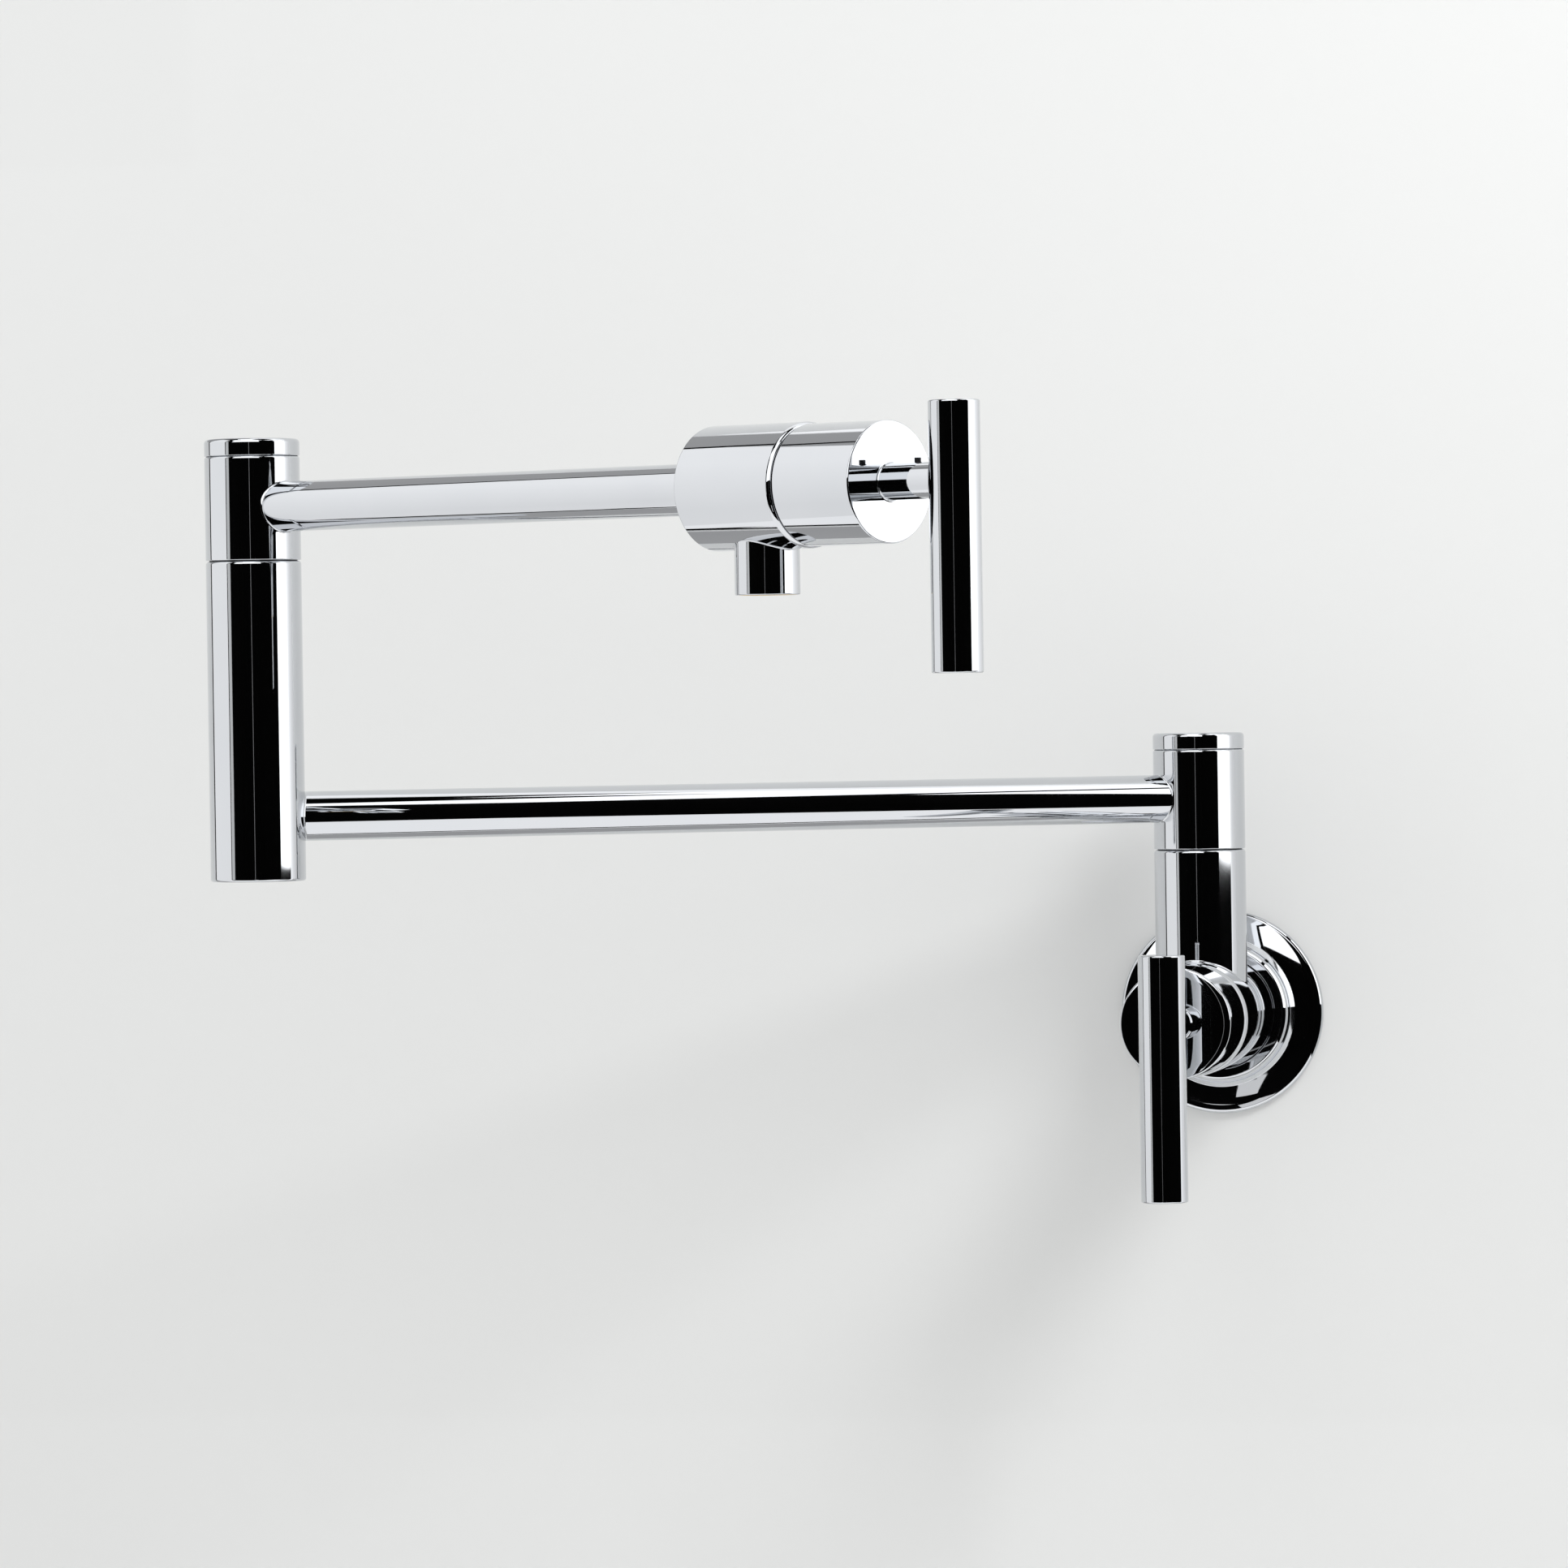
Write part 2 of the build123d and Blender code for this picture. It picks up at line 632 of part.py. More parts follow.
# ---------------------------------------------------------------- wall flange
def flange():
    """Stepped bell flange, its foam gasket and the ring that grips the barrel, drawn on Z."""
    hole_r = barrel_r + flange_hole_clearance
    neck_r = hole_r + flange_neck_wall
    neck_z = flange_crown_height - flange_neck_length
    gasket_r = flange_diameter / 2 - flange_rim_seat
    rim_low = (flange_diameter / 2, flange_rim_height)
    rim_high = (rim_low[0] - flange_rim_radius, flange_rim_height + flange_rim_radius)
    band_top = (flange_band_inner_diameter / 2, flange_band_height)
    step_top = (flange_step_diameter / 2, flange_step_height)
    crown_edge = (flange_crown_diameter / 2, flange_crown_height)
    shoulder_top = (crown_edge[0] + flange_crown_edge, crown_edge[1] - flange_crown_edge)
    edge = [
        Polyline((gasket_r, 0), (rim_low[0], 0), rim_low),
        RadiusArc(rim_low, rim_high, -flange_rim_radius),
        SagittaArc(rim_high, band_top, -flange_band_bulge),
        Line(band_top, step_top),
        SagittaArc(step_top, shoulder_top, -flange_shoulder_bulge),
        Polyline(
            shoulder_top,
            crown_edge,
            (hole_r, flange_crown_height),
            (hole_r, neck_z),
            (neck_r, neck_z),
            (neck_r, flange_gasket_thickness),
            (gasket_r, flange_gasket_thickness),
            (gasket_r, 0),
        ),
    ]
    bell = revolve(Plane.XZ * make_face(edge), Axis.Z)
    seal_r = barrel_r + flange_seal_depth
    seal_high = flange_crown_height - flange_seal_from_crown
    seal_low = seal_high - flange_seal_height
    return {
        "wall_flange": bell - rod(seal_r, seal_low, seal_high),
        "flange_gasket": ring(gasket_r - flange_gasket_width, gasket_r, 0, flange_gasket_thickness),
        "flange_grip_ring": ring(barrel_r, seal_r, seal_low, seal_high),
    }


# ---------------------------------------------------------------- arms and post
def arm_tube(start, end):
    """Plain tube between two distances along its arm, drawn on Z."""
    return ring(tube_r - tube_wall, tube_r, start, end)


def elbow_post():
    """Long column at the end of the lower arm, closed at its foot."""
    body = rod(column_r, 0, post_length, end_bevel, seam_bevel)
    body -= rod(post_bore_diameter / 2, post_floor, post_length)
    body -= column_socket(post_length)
    back = lower_direction * -1
    body -= radial_bore(tube_r, column_r - tube_seat_depth, column_r, back, post_below_arm)
    return body - radial_bore(tube_r - tube_wall, 0, column_r, back, post_below_arm)


# ---------------------------------------------------------------- the whole object
def pot_filler():
    """Every node of the object in its place."""
    nodes = {"wall_valve_body": wall_frame * wall_valve_body()}
    out_of_wall = Plane((0, 0, 0), x_dir=(1, 0, 0), z_dir=(0, -1, 0)).location
    nodes |= {name: out_of_wall * solid for name, solid in flange().items()}
    for name, frame in (("wall", wall_frame), ("spout", spout_frame)):
        nodes |= {node: frame * solid for node, solid in (cartridge(name) | handle(name)).items()}
    nodes |= {n: shoulder_frame * s for n, s in swivel("shoulder", lower_direction).items()}
    nodes |= {n: elbow_frame * s for n, s in swivel("elbow", upper_direction).items()}
    nodes["elbow_post"] = Location(elbow_foot) * elbow_post()
    seat = column_r - tube_seat_depth
    shoulder_axis = (shoulder.X, shoulder.Y, lower_arm_height)
    nodes["lower_arm_tube"] = aimed(arm_tube(seat, arm_span - seat), lower_direction, shoulder_axis)
    elbow_axis = (elbow.X, elbow.Y, upper_arm_height)
    nodes["upper_arm_tube"] = aimed(
        arm_tube(seat, upper_arm_reach + tube_socket_depth), upper_direction, elbow_axis
    )
    nodes["spout_valve_body"] = spout_frame * spout_valve_body()
    nodes |= {node: spout_frame * solid for node, solid in outlet().items()}
    return nodes


os.makedirs("parts", exist_ok=True)
for node_name, node_solid in pot_filler().items():
    export_step(node_solid, f"parts/{node_name}.step")
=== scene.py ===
# %% [markdown]
# # A polished wall mounted pot filler
#
# A pot filler is a kitchen tap that folds out of the wall over the hob. This one is a wall
# valve, a riser with a swivel on it, a long lower arm, a tall elbow post with a second swivel,
# an upper arm, and a second valve with the spout under it. All that shows is mirror chrome.
#
# The construction already exists: every piece, joint and mount, at its real size. This lesson
# loads it as a fixed frame, turns fine pieces for all the chrome that shows, gives every piece
# a finish, and builds a small studio round it. A mirror has no look of its own, so the studio
# is half of the work.

# %% Load the frame
import json
import math

import bmesh
import bpy
from mathutils import Matrix, Vector


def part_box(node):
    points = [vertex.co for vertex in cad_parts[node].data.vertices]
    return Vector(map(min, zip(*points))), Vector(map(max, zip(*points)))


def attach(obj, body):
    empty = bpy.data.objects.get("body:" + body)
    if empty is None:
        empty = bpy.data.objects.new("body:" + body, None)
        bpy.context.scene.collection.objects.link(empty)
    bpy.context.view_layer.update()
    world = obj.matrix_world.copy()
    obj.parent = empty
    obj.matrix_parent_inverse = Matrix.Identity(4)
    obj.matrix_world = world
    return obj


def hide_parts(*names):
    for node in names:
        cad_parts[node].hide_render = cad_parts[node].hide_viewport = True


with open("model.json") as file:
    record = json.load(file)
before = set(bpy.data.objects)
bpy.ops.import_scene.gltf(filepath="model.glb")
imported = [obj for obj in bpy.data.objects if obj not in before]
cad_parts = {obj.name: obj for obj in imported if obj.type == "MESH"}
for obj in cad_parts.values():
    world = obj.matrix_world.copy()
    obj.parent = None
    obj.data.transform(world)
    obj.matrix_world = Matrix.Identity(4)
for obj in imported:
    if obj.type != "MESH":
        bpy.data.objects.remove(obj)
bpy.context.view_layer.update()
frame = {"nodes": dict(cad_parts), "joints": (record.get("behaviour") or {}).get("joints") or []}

print("nodes in the frame:", len(frame["nodes"]))

# %% [markdown]
# ## Directions and places
#
# No piece is placed by eye. The joints of the frame say where the shoulder, the elbow and the
# two valves are, and which way they point. Each group of pieces is drawn in its own axes, in
# millimetres, with Z along the thing it belongs to, and a placement matrix carries it into the
# metres of the frame. The inverse of that matrix measures a node of the frame in those axes,
# so the new pieces take their main sizes from the frame too.

# %% Placements from the joints
MM = 0.001
UP = Vector((0, 0, 1))
OUT_OF_WALL = Vector((0, -1, 0))


def axes(origin, along, second):
    """Placement in millimetres whose Z runs along a direction and whose Y lies near a second."""
    z_axis = along.normalized()
    x_axis = second.cross(z_axis).normalized()
    y_axis = z_axis.cross(x_axis)
    turn = Matrix((x_axis, y_axis, z_axis)).transposed().to_4x4()
    return Matrix.Translation(origin) @ turn @ Matrix.Scale(MM, 4)


def joint_place(name):
    """Position and direction of a joint."""
    found = next(joint for joint in frame["joints"] if joint["name"] == name)
    return Vector(found["pos_m"]), Vector(found["axis"]).normalized()


def measured(node, place):
    """Lowest and highest corner of a node in the millimetres of a placement."""
    to_place = place.inverted()
    columns = list(zip(*[to_place @ vertex.co for vertex in frame["nodes"][node].data.vertices]))
    return Vector([min(column) for column in columns]), Vector([max(column) for column in columns])


shoulder, _ = joint_place("shoulder_swivel")
elbow, _ = joint_place("elbow_swivel")
wall_seam, _ = joint_place("wall_handle_turn")
spout_seam, upper_direction = joint_place("spout_handle_turn")
lower_direction = Vector((elbow.x - shoulder.x, elbow.y - shoulder.y, 0)).normalized()

shoulder_place = axes(shoulder, UP, -OUT_OF_WALL)
elbow_place = axes(elbow, UP, -OUT_OF_WALL)
wall_valve_place = axes(wall_seam, OUT_OF_WALL, UP)
spout_valve_place = axes(spout_seam, upper_direction, UP)
flange_place = axes(Vector((0, 0, 0)), OUT_OF_WALL, UP)
riser_place = axes(Vector((shoulder.x, shoulder.y, wall_seam.z)), UP, OUT_OF_WALL)

lower_tube_low, lower_tube_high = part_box("lower_arm_tube")
lower_arm_height = (lower_tube_low.z + lower_tube_high.z) / 2
lower_arm_place = axes(Vector((shoulder.x, shoulder.y, lower_arm_height)), lower_direction, UP)
upper_arm_place = axes(Vector((elbow.x, elbow.y, spout_seam.z)), upper_direction, UP)
print("lower arm points to", [round(value, 4) for value in lower_direction])
print("upper arm points to", [round(value, 4) for value in upper_direction])

# %% Sizes read from the frame
column_r = measured("elbow_post", elbow_place)[1].x
barrel_r = measured("wall_valve_body", wall_valve_place)[1].x
drum_r = measured("wall_handle_skirt", wall_valve_place)[1].x
tube_r = measured("lower_arm_tube", lower_arm_place)[1].y
bar_r = measured("wall_handle_bar", wall_valve_place)[1].x
arm_span = Vector((elbow.x - shoulder.x, elbow.y - shoulder.y)).length / MM
wall_back = measured("wall_valve_body", wall_valve_place)[0].z
spout_back = measured("spout_valve_body", spout_valve_place)[0].z
riser_top = measured("wall_valve_body", riser_place)[1].z
print(f"across: column {2 * column_r:.1f} mm, barrel {2 * barrel_r:.1f}, tube {2 * tube_r:.1f}")

# %% [markdown]
# ## Finishes
#
# Chrome is plated over polished brass and reflects like a slightly dim mirror. What makes it
# metal and not a computer mirror is small: a haze that is stronger in some places, faint lines
# left by the polishing wheel along the piece, and a surface whose slope waves by a few
# hundredths of a degree, so that the edge of a reflected band wanders. All three come from
# noise in the Object coordinates, and Mapping nodes turn and draw out the lines along the
# piece.

# %% A helper that makes one node and wires it
def wired(tree, kind, inputs, **settings):
    """One node, its settings, and its inputs as plain values or as the outputs they come from."""
    made = tree.nodes.new(kind)
    for key, value in settings.items():
        setattr(made, key, value)
    for socket, value in inputs.items():
        if isinstance(value, bpy.types.NodeSocket):
            tree.links.new(value, made.inputs[socket])
        else:
            made.inputs[socket].default_value = value
    return made


def started(name):
    """New material with an empty tree, and the Object coordinates of the piece."""
    material = bpy.data.materials.new(name)
    material.use_nodes = True
    tree = material.node_tree
    tree.nodes.clear()
    return material, tree, tree.nodes.new("ShaderNodeTexCoord").outputs["Object"]


def ended(material, tree, shader):
    """Sends a shader to the material's output."""
    wired(tree, "ShaderNodeOutputMaterial", {"Surface": shader.outputs[0]})
    return material


def along_piece(tree, coordinates, direction, stretch):
    """Coordinates turned so that their Z follows a direction, and drawn out along it."""
    turn = direction.to_track_quat("Z", "Y").inverted().to_euler()
    turned_along = wired(tree, "ShaderNodeMapping", {"Vector": coordinates, "Rotation": turn})
    drawn_out = {"Vector": turned_along.outputs[0], "Scale": (1, 1, 1 / stretch)}
    return wired(tree, "ShaderNodeMapping", drawn_out).outputs[0]


def noise(tree, coordinates, size, detail):
    """Cloudy pattern between 0 and 1 whose blotches measure about size, in metres."""
    inputs = {"Vector": coordinates, "Scale": 1 / size, "Detail": detail}
    return wired(tree, "ShaderNodeTexNoise", inputs).outputs["Fac"]


def relief(tree, height, distance, **under):
    """Normals of a surface whose height follows a noise, over another relief if one is given."""
    inputs = {"Height": height, "Strength": 1.0, "Distance": distance, **under}
    return wired(tree, "ShaderNodeBump", inputs).outputs[0]


NOISE_MIDDLE = (0.3, 0.7)       # nearly all values of a noise lie between these


def between(tree, factor, low, high):
    """Spreads the middle of a noise over a range of values."""
    first, last = NOISE_MIDDLE
    spread = {"Value": factor, "From Min": first, "From Max": last, "To Min": low, "To Max": high}
    return wired(tree, "ShaderNodeMapRange", spread).outputs["Result"]


def mixed(tree, factor, dark, light):
    """Colour between two, by a factor."""
    inputs = {"Factor": factor, "A": (*dark, 1), "B": (*light, 1)}
    return wired(tree, "ShaderNodeMix", inputs, data_type="RGBA").outputs["Result"]


def surface(tree, **inputs):
    """Principled shader; a double underscore in an input's name stands for a space."""
    named = {name.replace("__", " "): value for name, value in inputs.items()}
    return wired(tree, "ShaderNodeBsdfPrincipled", named)


# %% Mirror chrome
CHROME_DARK = (0.595, 0.612, 0.638)
CHROME_LIGHT = (0.640, 0.654, 0.676)
CHROME_ROUGHNESS = (0.012, 0.045)
HAZE_SIZE = 0.03                # blotches of the haze, in metres
HAZE_DETAIL = 4.0
WAVE_SIZE = 0.035               # length of the surface's slow waves
WAVE_DETAIL = 0.0               # and nothing finer in them
WAVE_HEIGHT = 1.2e-5
LINE_SIZE = 0.0006              # width of the polishing lines
LINE_DETAIL = 2.0
LINE_HEIGHT = 1.5e-7
LINE_STRETCH = 60.0             # how much longer than wide they are


def mirror_chrome(name, direction):
    """Chrome plate whose polishing lines run along a direction."""
    material, tree, coordinates = started(name)
    haze = noise(tree, coordinates, HAZE_SIZE, HAZE_DETAIL)
    along = along_piece(tree, coordinates, direction, LINE_STRETCH)
    lines = noise(tree, along, LINE_SIZE, LINE_DETAIL)
    waves = noise(tree, coordinates, WAVE_SIZE, WAVE_DETAIL)
    slow = relief(tree, waves, WAVE_HEIGHT)
    shader = surface(
        tree,
        Base__Color=mixed(tree, haze, CHROME_DARK, CHROME_LIGHT),
        Metallic=1.0,
        Roughness=between(tree, haze, *CHROME_ROUGHNESS),
        Normal=relief(tree, lines, LINE_HEIGHT, Normal=slow),
    )
    return ended(material, tree, shader)


upright_chrome = mirror_chrome("chrome_upright", UP)
wall_axis_chrome = mirror_chrome("chrome_out_of_wall", OUT_OF_WALL)
lower_arm_chrome = mirror_chrome("chrome_lower_arm", lower_direction)
upper_arm_chrome = mirror_chrome("chrome_upper_arm", upper_direction)
for chrome in (upright_chrome, wall_axis_chrome, lower_arm_chrome, upper_arm_chrome):
    print("made", chrome.name)

# %% [markdown]
# ## What is under the chrome
#
# Bores and threads aren't plated, so they show bare brass, dull from the cutting tool. The
# screws and washers are steel, the grub screws are blacked steel. The discs of the cartridges
# are hard white ceramic, the seals black rubber, the bearing rings and the flow straightener
# plastic, and the gasket behind the flange is soft foam. None of them is large, but each can
# be seen from behind, from below or with the piece taken off, so each gets its own finish.

# %% Cut metal
TARNISH_SIZE = 0.006            # patches of the colour, in metres
TARNISH_DETAIL = 3.0
MARK_STRETCH = 0.05             # under one, so the marks run round the direction
MARK_DETAIL = 2.0


def cut_metal(name, direction, colours, roughness, mark_size, mark_height):
    """Bare metal with the marks of the cutting tool round a direction."""
    material, tree, coordinates = started(name)
    patches = noise(tree, coordinates, TARNISH_SIZE, TARNISH_DETAIL)
    along = along_piece(tree, coordinates, direction, MARK_STRETCH)
    marks = noise(tree, along, mark_size, MARK_DETAIL)
    shader = surface(
        tree,
        Base__Color=mixed(tree, patches, *colours),
        Metallic=1.0,
        Roughness=between(tree, marks, *roughness),
        Normal=relief(tree, marks, mark_height),
    )
    return ended(material, tree, shader)


bare_brass = cut_metal(
    "bare_brass",
    OUT_OF_WALL,
    colours=((0.60, 0.42, 0.18), (0.74, 0.56, 0.27)),
    roughness=(0.22, 0.42),
    mark_size=0.0004,
    mark_height=2e-6,
)
steel = cut_metal(
    "steel",
    UP,
    colours=((0.50, 0.50, 0.51), (0.62, 0.62, 0.63)),
    roughness=(0.20, 0.36),
    mark_size=0.0003,
    mark_height=1.5e-6,
)
blacked_steel = cut_metal(
    "blacked_steel",
    UP,
    colours=((0.020, 0.020, 0.022), (0.05, 0.05, 0.055)),
    roughness=(0.28, 0.45),
    mark_size=0.0003,
    mark_height=1e-6,
)
for metal in (bare_brass, steel, blacked_steel):
    print("made", metal.name)

# %% Moulded and fired finishes
PATCH_SIZE = 0.004
PATCH_DETAIL = 3.0
GRAIN_DETAIL = 4.0


def moulded(name, colours, roughness, grain_size, grain_height):
    """Rubber, plastic, ceramic or foam: a colour that varies a little and a fine grain."""
    material, tree, coordinates = started(name)
    patches = noise(tree, coordinates, PATCH_SIZE, PATCH_DETAIL)
    grain = noise(tree, coordinates, grain_size, GRAIN_DETAIL)
    shader = surface(
        tree,
        Base__Color=mixed(tree, patches, *colours),
        Roughness=between(tree, grain, *roughness),
        Normal=relief(tree, grain, grain_height),
    )
    return ended(material, tree, shader)


ceramic = moulded(
    "ceramic",
    colours=((0.78, 0.77, 0.73), (0.86, 0.85, 0.82)),
    roughness=(0.14, 0.24),
    grain_size=0.0002,
    grain_height=4e-7,
)
rubber = moulded(
    "rubber",
    colours=((0.012, 0.012, 0.013), (0.028, 0.028, 0.029)),
    roughness=(0.45, 0.65),
    grain_size=0.0003,
    grain_height=3e-6,
)
straightener_plastic = moulded(
    "straightener_plastic",
    colours=((0.62, 0.63, 0.64), (0.74, 0.75, 0.75)),
    roughness=(0.35, 0.5),
    grain_size=0.0003,
    grain_height=2e-6,
)
bearing_plastic = moulded(
    "bearing_plastic",
    colours=((0.025, 0.025, 0.028), (0.05, 0.05, 0.054)),
    roughness=(0.38, 0.55),
    grain_size=0.0003,
    grain_height=2e-6,
)
foam = moulded(
    "foam",
    colours=((0.10, 0.10, 0.105), (0.17, 0.17, 0.175)),
    roughness=(0.8, 0.95),
    grain_size=0.0007,
    grain_height=4e-5,
)
for material in (ceramic, rubber, straightener_plastic, bearing_plastic, foam):
    print("made", material.name)

# %% Finish of every node that is kept from the frame
FINISH_OF_SLOT = {
    "chrome": upright_chrome,
    "brass": bare_brass,
    "steel": steel,
    "black_steel": blacked_steel,
    "ceramic": ceramic,
    "rubber": rubber,
    "acetal": straightener_plastic,
    "bearing_plastic": bearing_plastic,
    "foam": foam,
}
for node_name, node_object in sorted(frame["nodes"].items()):
    slot_name = node_object.data.materials[0].name.split(".")[0]
    node_object.material_slots[0].material = FINISH_OF_SLOT[slot_name]
    print(node_name, "has the finish", slot_name)

# %% [markdown]
# ## Turning a piece
#
# Nearly everything here comes off a lathe, so one tool makes nearly everything: half of the
# section is drawn as a chain of corners, the corners that are broken on the real piece are
# rounded with a vertex bevel, and the chain is spun about Z. A cylinder primitive with a Bevel
# modifier could do the same for a plain bar, but it can't hold bores, steps and coves in one
# closed skin, and its corner count would be fixed before the shape is known.
#
# Shading needs care on a mirror. Each flat face must stay flat up to its round edge, so the
# normals are weighted by face area, and edges that turn sharply stay sharp.

# %% The lathe
FINE_STEPS = 128                # steps round a piece
EDGE_SEGMENTS = 6               # steps round a broken edge
WELD = 0.0005                   # corners nearer than this are one, in millimetres


def turned(outline, steps=FINE_STEPS):
    """Closed solid of revolution about Z. A corner is (radius, height[, rounding])."""
    bench = bmesh.new()
    corners = [bench.verts.new((corner[0], 0, corner[1])) for corner in outline]
    for first, second in zip(corners, corners[1:] + corners[:1]):
        # A side that lies on the axis would sweep no face, so it is left out.
        if first.co.x > WELD or second.co.x > WELD:
            bench.edges.new((first, second))
    roundings = [corner[2] if len(corner) > 2 else 0 for corner in outline]
    for size in sorted(set(roundings) - {0}):
        bmesh.ops.bevel(
            bench,
            geom=[vertex for vertex, rounding in zip(corners, roundings) if rounding == size],
            affect="VERTICES",
            offset=size,
            offset_type="OFFSET",
            segments=EDGE_SEGMENTS,
            profile=0.5,
            material=-1,
            clamp_overlap=False,
            loop_slide=True,
        )
    bmesh.ops.spin(
        bench,
        geom=bench.verts[:] + bench.edges[:],
        cent=(0, 0, 0),
        axis=(0, 0, 1),
        dvec=(0, 0, 0),
        angle=math.tau,
        steps=steps,
        use_merge=True,
        use_normal_flip=False,
        use_duplicate=False,
    )
    bmesh.ops.remove_doubles(bench, verts=bench.verts, dist=WELD)
    bmesh.ops.dissolve_degenerate(bench, edges=bench.edges, dist=WELD / 10)
    bmesh.ops.recalc_face_normals(bench, faces=bench.faces)
    return bench


# %% From the bench to the object
SHARP = math.radians(35)        # edges that turn more than this stay sharp
FACES_THE_AXIS = -0.1           # below this, radius times normal means the side of a bore
BY_AREA_ALONE = 100             # weight of the Weighted Normal modifier


def finished(name, bench, place, body, nodes, outside, inside=None):
    """Makes a turned piece an object of a body, standing for nodes of the frame."""
    for face in bench.faces:
        face.smooth = True
        centre = face.calc_center_median()
        outward = centre.x * face.normal.x + centre.y * face.normal.y
        if inside is not None and outward < FACES_THE_AXIS:
            face.material_index = 1
    for edge in bench.edges:
        edge.smooth = edge.calc_face_angle(0) < SHARP
    open_edges = sum(1 for edge in bench.edges if len(edge.link_faces) != 2)
    bmesh.ops.transform(bench, matrix=place, verts=bench.verts)
    mesh = bpy.data.meshes.new(name)
    bench.to_mesh(mesh)
    bench.free()
    for finish in [outside] + ([inside] if inside else []):
        mesh.materials.append(finish)
    piece = bpy.data.objects.new(name, mesh)
    bpy.context.scene.collection.objects.link(piece)
    even = piece.modifiers.new("even_shading", "WEIGHTED_NORMAL")
    even.weight = BY_AREA_ALONE
    even.keep_sharp = True
    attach(piece, body)
    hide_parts(*nodes)
    print(f"{name}: {len(mesh.polygons)} faces, {open_edges} open edges")


# %% [markdown]
# ## Where one round piece stands on another
#
# A tube that leaves the side of a column ends in a saddle curve, with a thin fillet of braze
# polished into it. A Boolean would find that curve, but leaves ragged triangles just where the
# mirror is most unforgiving. The saddle has a simple formula, so the tube is turned as if it
# stood on a flat wall, with its cove already in the outline, and then each vertex near the
# foot slides along the tube's own axis until it lies on the round carrier.

# %% Cove and saddle
COVE = 0.5                      # radius of the brazed fillet
COVE_STEPS = 5
END_ZONE = 2 * COVE             # the stretch of a tube that slides onto its carrier


def cove(radius, foot, size=COVE, rising=True):
    """Corners of the hollow fillet between a flat wall at the foot and a tube's side."""
    way = 1 if rising else -1
    corners = []
    for step in range(COVE_STEPS + 1):
        angle = math.pi / 2 * step / COVE_STEPS
        height = foot + way * size * (1 - math.cos(angle))
        corners.append((radius + size * (1 - math.sin(angle)), height))
    return corners if rising else corners[::-1]


def seated(bench, carrier_r, low=None, high=None):
    """Slides the ends of a turned piece onto round carriers that lie along Y."""
    for vertex in bench.verts:
        rise = math.sqrt(max(carrier_r**2 - vertex.co.x**2, 0))
        if low is not None and vertex.co.z < low:
            vertex.co.z += rise
        elif high is not None and vertex.co.z > high:
            vertex.co.z -= rise
    bmesh.ops.recalc_face_normals(bench, faces=bench.faces)


# %% [markdown]
# ## Wall valve and riser
#
# The barrel is a bored bar: a pipe thread at the wall, a water way, and the wide chamber of
# the cartridge in front. The real thread tapers slightly, which is left out here. The rim next
# to the handle is rolled in along an arc. The riser is its own turned piece, seated on the
# barrel with a saddle.

# %% Barrel on the wall
WALL_ROLL = (2.4, 0.9)          # rolled rim of a barrel: along the barrel, and on the radius
SPOUT_ROLL = (1.5, 0.8)
ROLL_STEPS = 8
ROLL_EDGE = 0.15                # rounding where the roll ends at the seam
BORE_R = 5.5
CHAMBER_R = 10.45
CHAMBER_DEPTH = 27.0
THREAD_R = 9.9
THREAD_LENGTH = 16.0
THREAD_PITCH = 1.814
THREAD_DEPTH = 0.9


def rolled_rim(length, drop):
    """Corners of the arc that leaves the barrel's side and ends at the handle seam."""
    arc_r = (drop**2 + length**2) / (2 * drop)
    end_angle = math.asin(length / arc_r)
    corners = []
    for step in range(ROLL_STEPS + 1):
        angle = end_angle * step / ROLL_STEPS
        height = arc_r * math.sin(angle) - length
        corners.append((barrel_r - arc_r * (1 - math.cos(angle)), height))
    return corners[:-1] + [(*corners[-1], ROLL_EDGE)]


def inlet_thread(back):
    """Zigzag of thread roots and crests, from the bottom of the threaded hole to its mouth."""
    corners = []
    turns = int(THREAD_LENGTH / THREAD_PITCH)
    for turn in range(turns, 0, -1):
        foot = back + turn * THREAD_PITCH
        corners.append((THREAD_R, foot))
        corners.append((THREAD_R - THREAD_DEPTH, foot - THREAD_PITCH / 2))
    return corners + [(THREAD_R, back)]


wall_barrel = turned(
    inlet_thread(wall_back)
    + [(barrel_r, wall_back)]
    + rolled_rim(*WALL_ROLL)
    + [
        (CHAMBER_R, 0),
        (CHAMBER_R, -CHAMBER_DEPTH),
        (BORE_R, -CHAMBER_DEPTH),
        (BORE_R, wall_back + THREAD_LENGTH),
        (THREAD_R, wall_back + THREAD_LENGTH),
    ]
)
finished(
    "wall_barrel",
    wall_barrel,
    wall_valve_place,
    "wall_mount",
    ["wall_valve_body"],
    wall_axis_chrome,
    bare_brass,
)

# %% Riser
TOP_EDGE = 1.3                  # rounding of the top of a column
FOOT_EDGE = 0.9                 # and of its foot
SEAM_EDGE = 1.0                 # of the lower piece at a swivel seam
LID_EDGE = 0.9                  # of the sleeve at its lid line
UPPER_EDGE = 0.3                # and of the upper piece at either line
RISER_BORE_R = 7.0
SOCKET_R = 9.0
SOCKET_DEPTH = 12.0

riser = turned(
    [(RISER_BORE_R, 0)]
    + cove(column_r, 0)
    + [
        (column_r, riser_top, SEAM_EDGE),
        (SOCKET_R, riser_top),
        (SOCKET_R, riser_top - SOCKET_DEPTH),
        (RISER_BORE_R, riser_top - SOCKET_DEPTH),
    ]
)
seated(riser, barrel_r, low=END_ZONE)
finished("riser", riser, riser_place, "wall_mount", ["wall_valve_body"], upright_chrome, bare_brass)

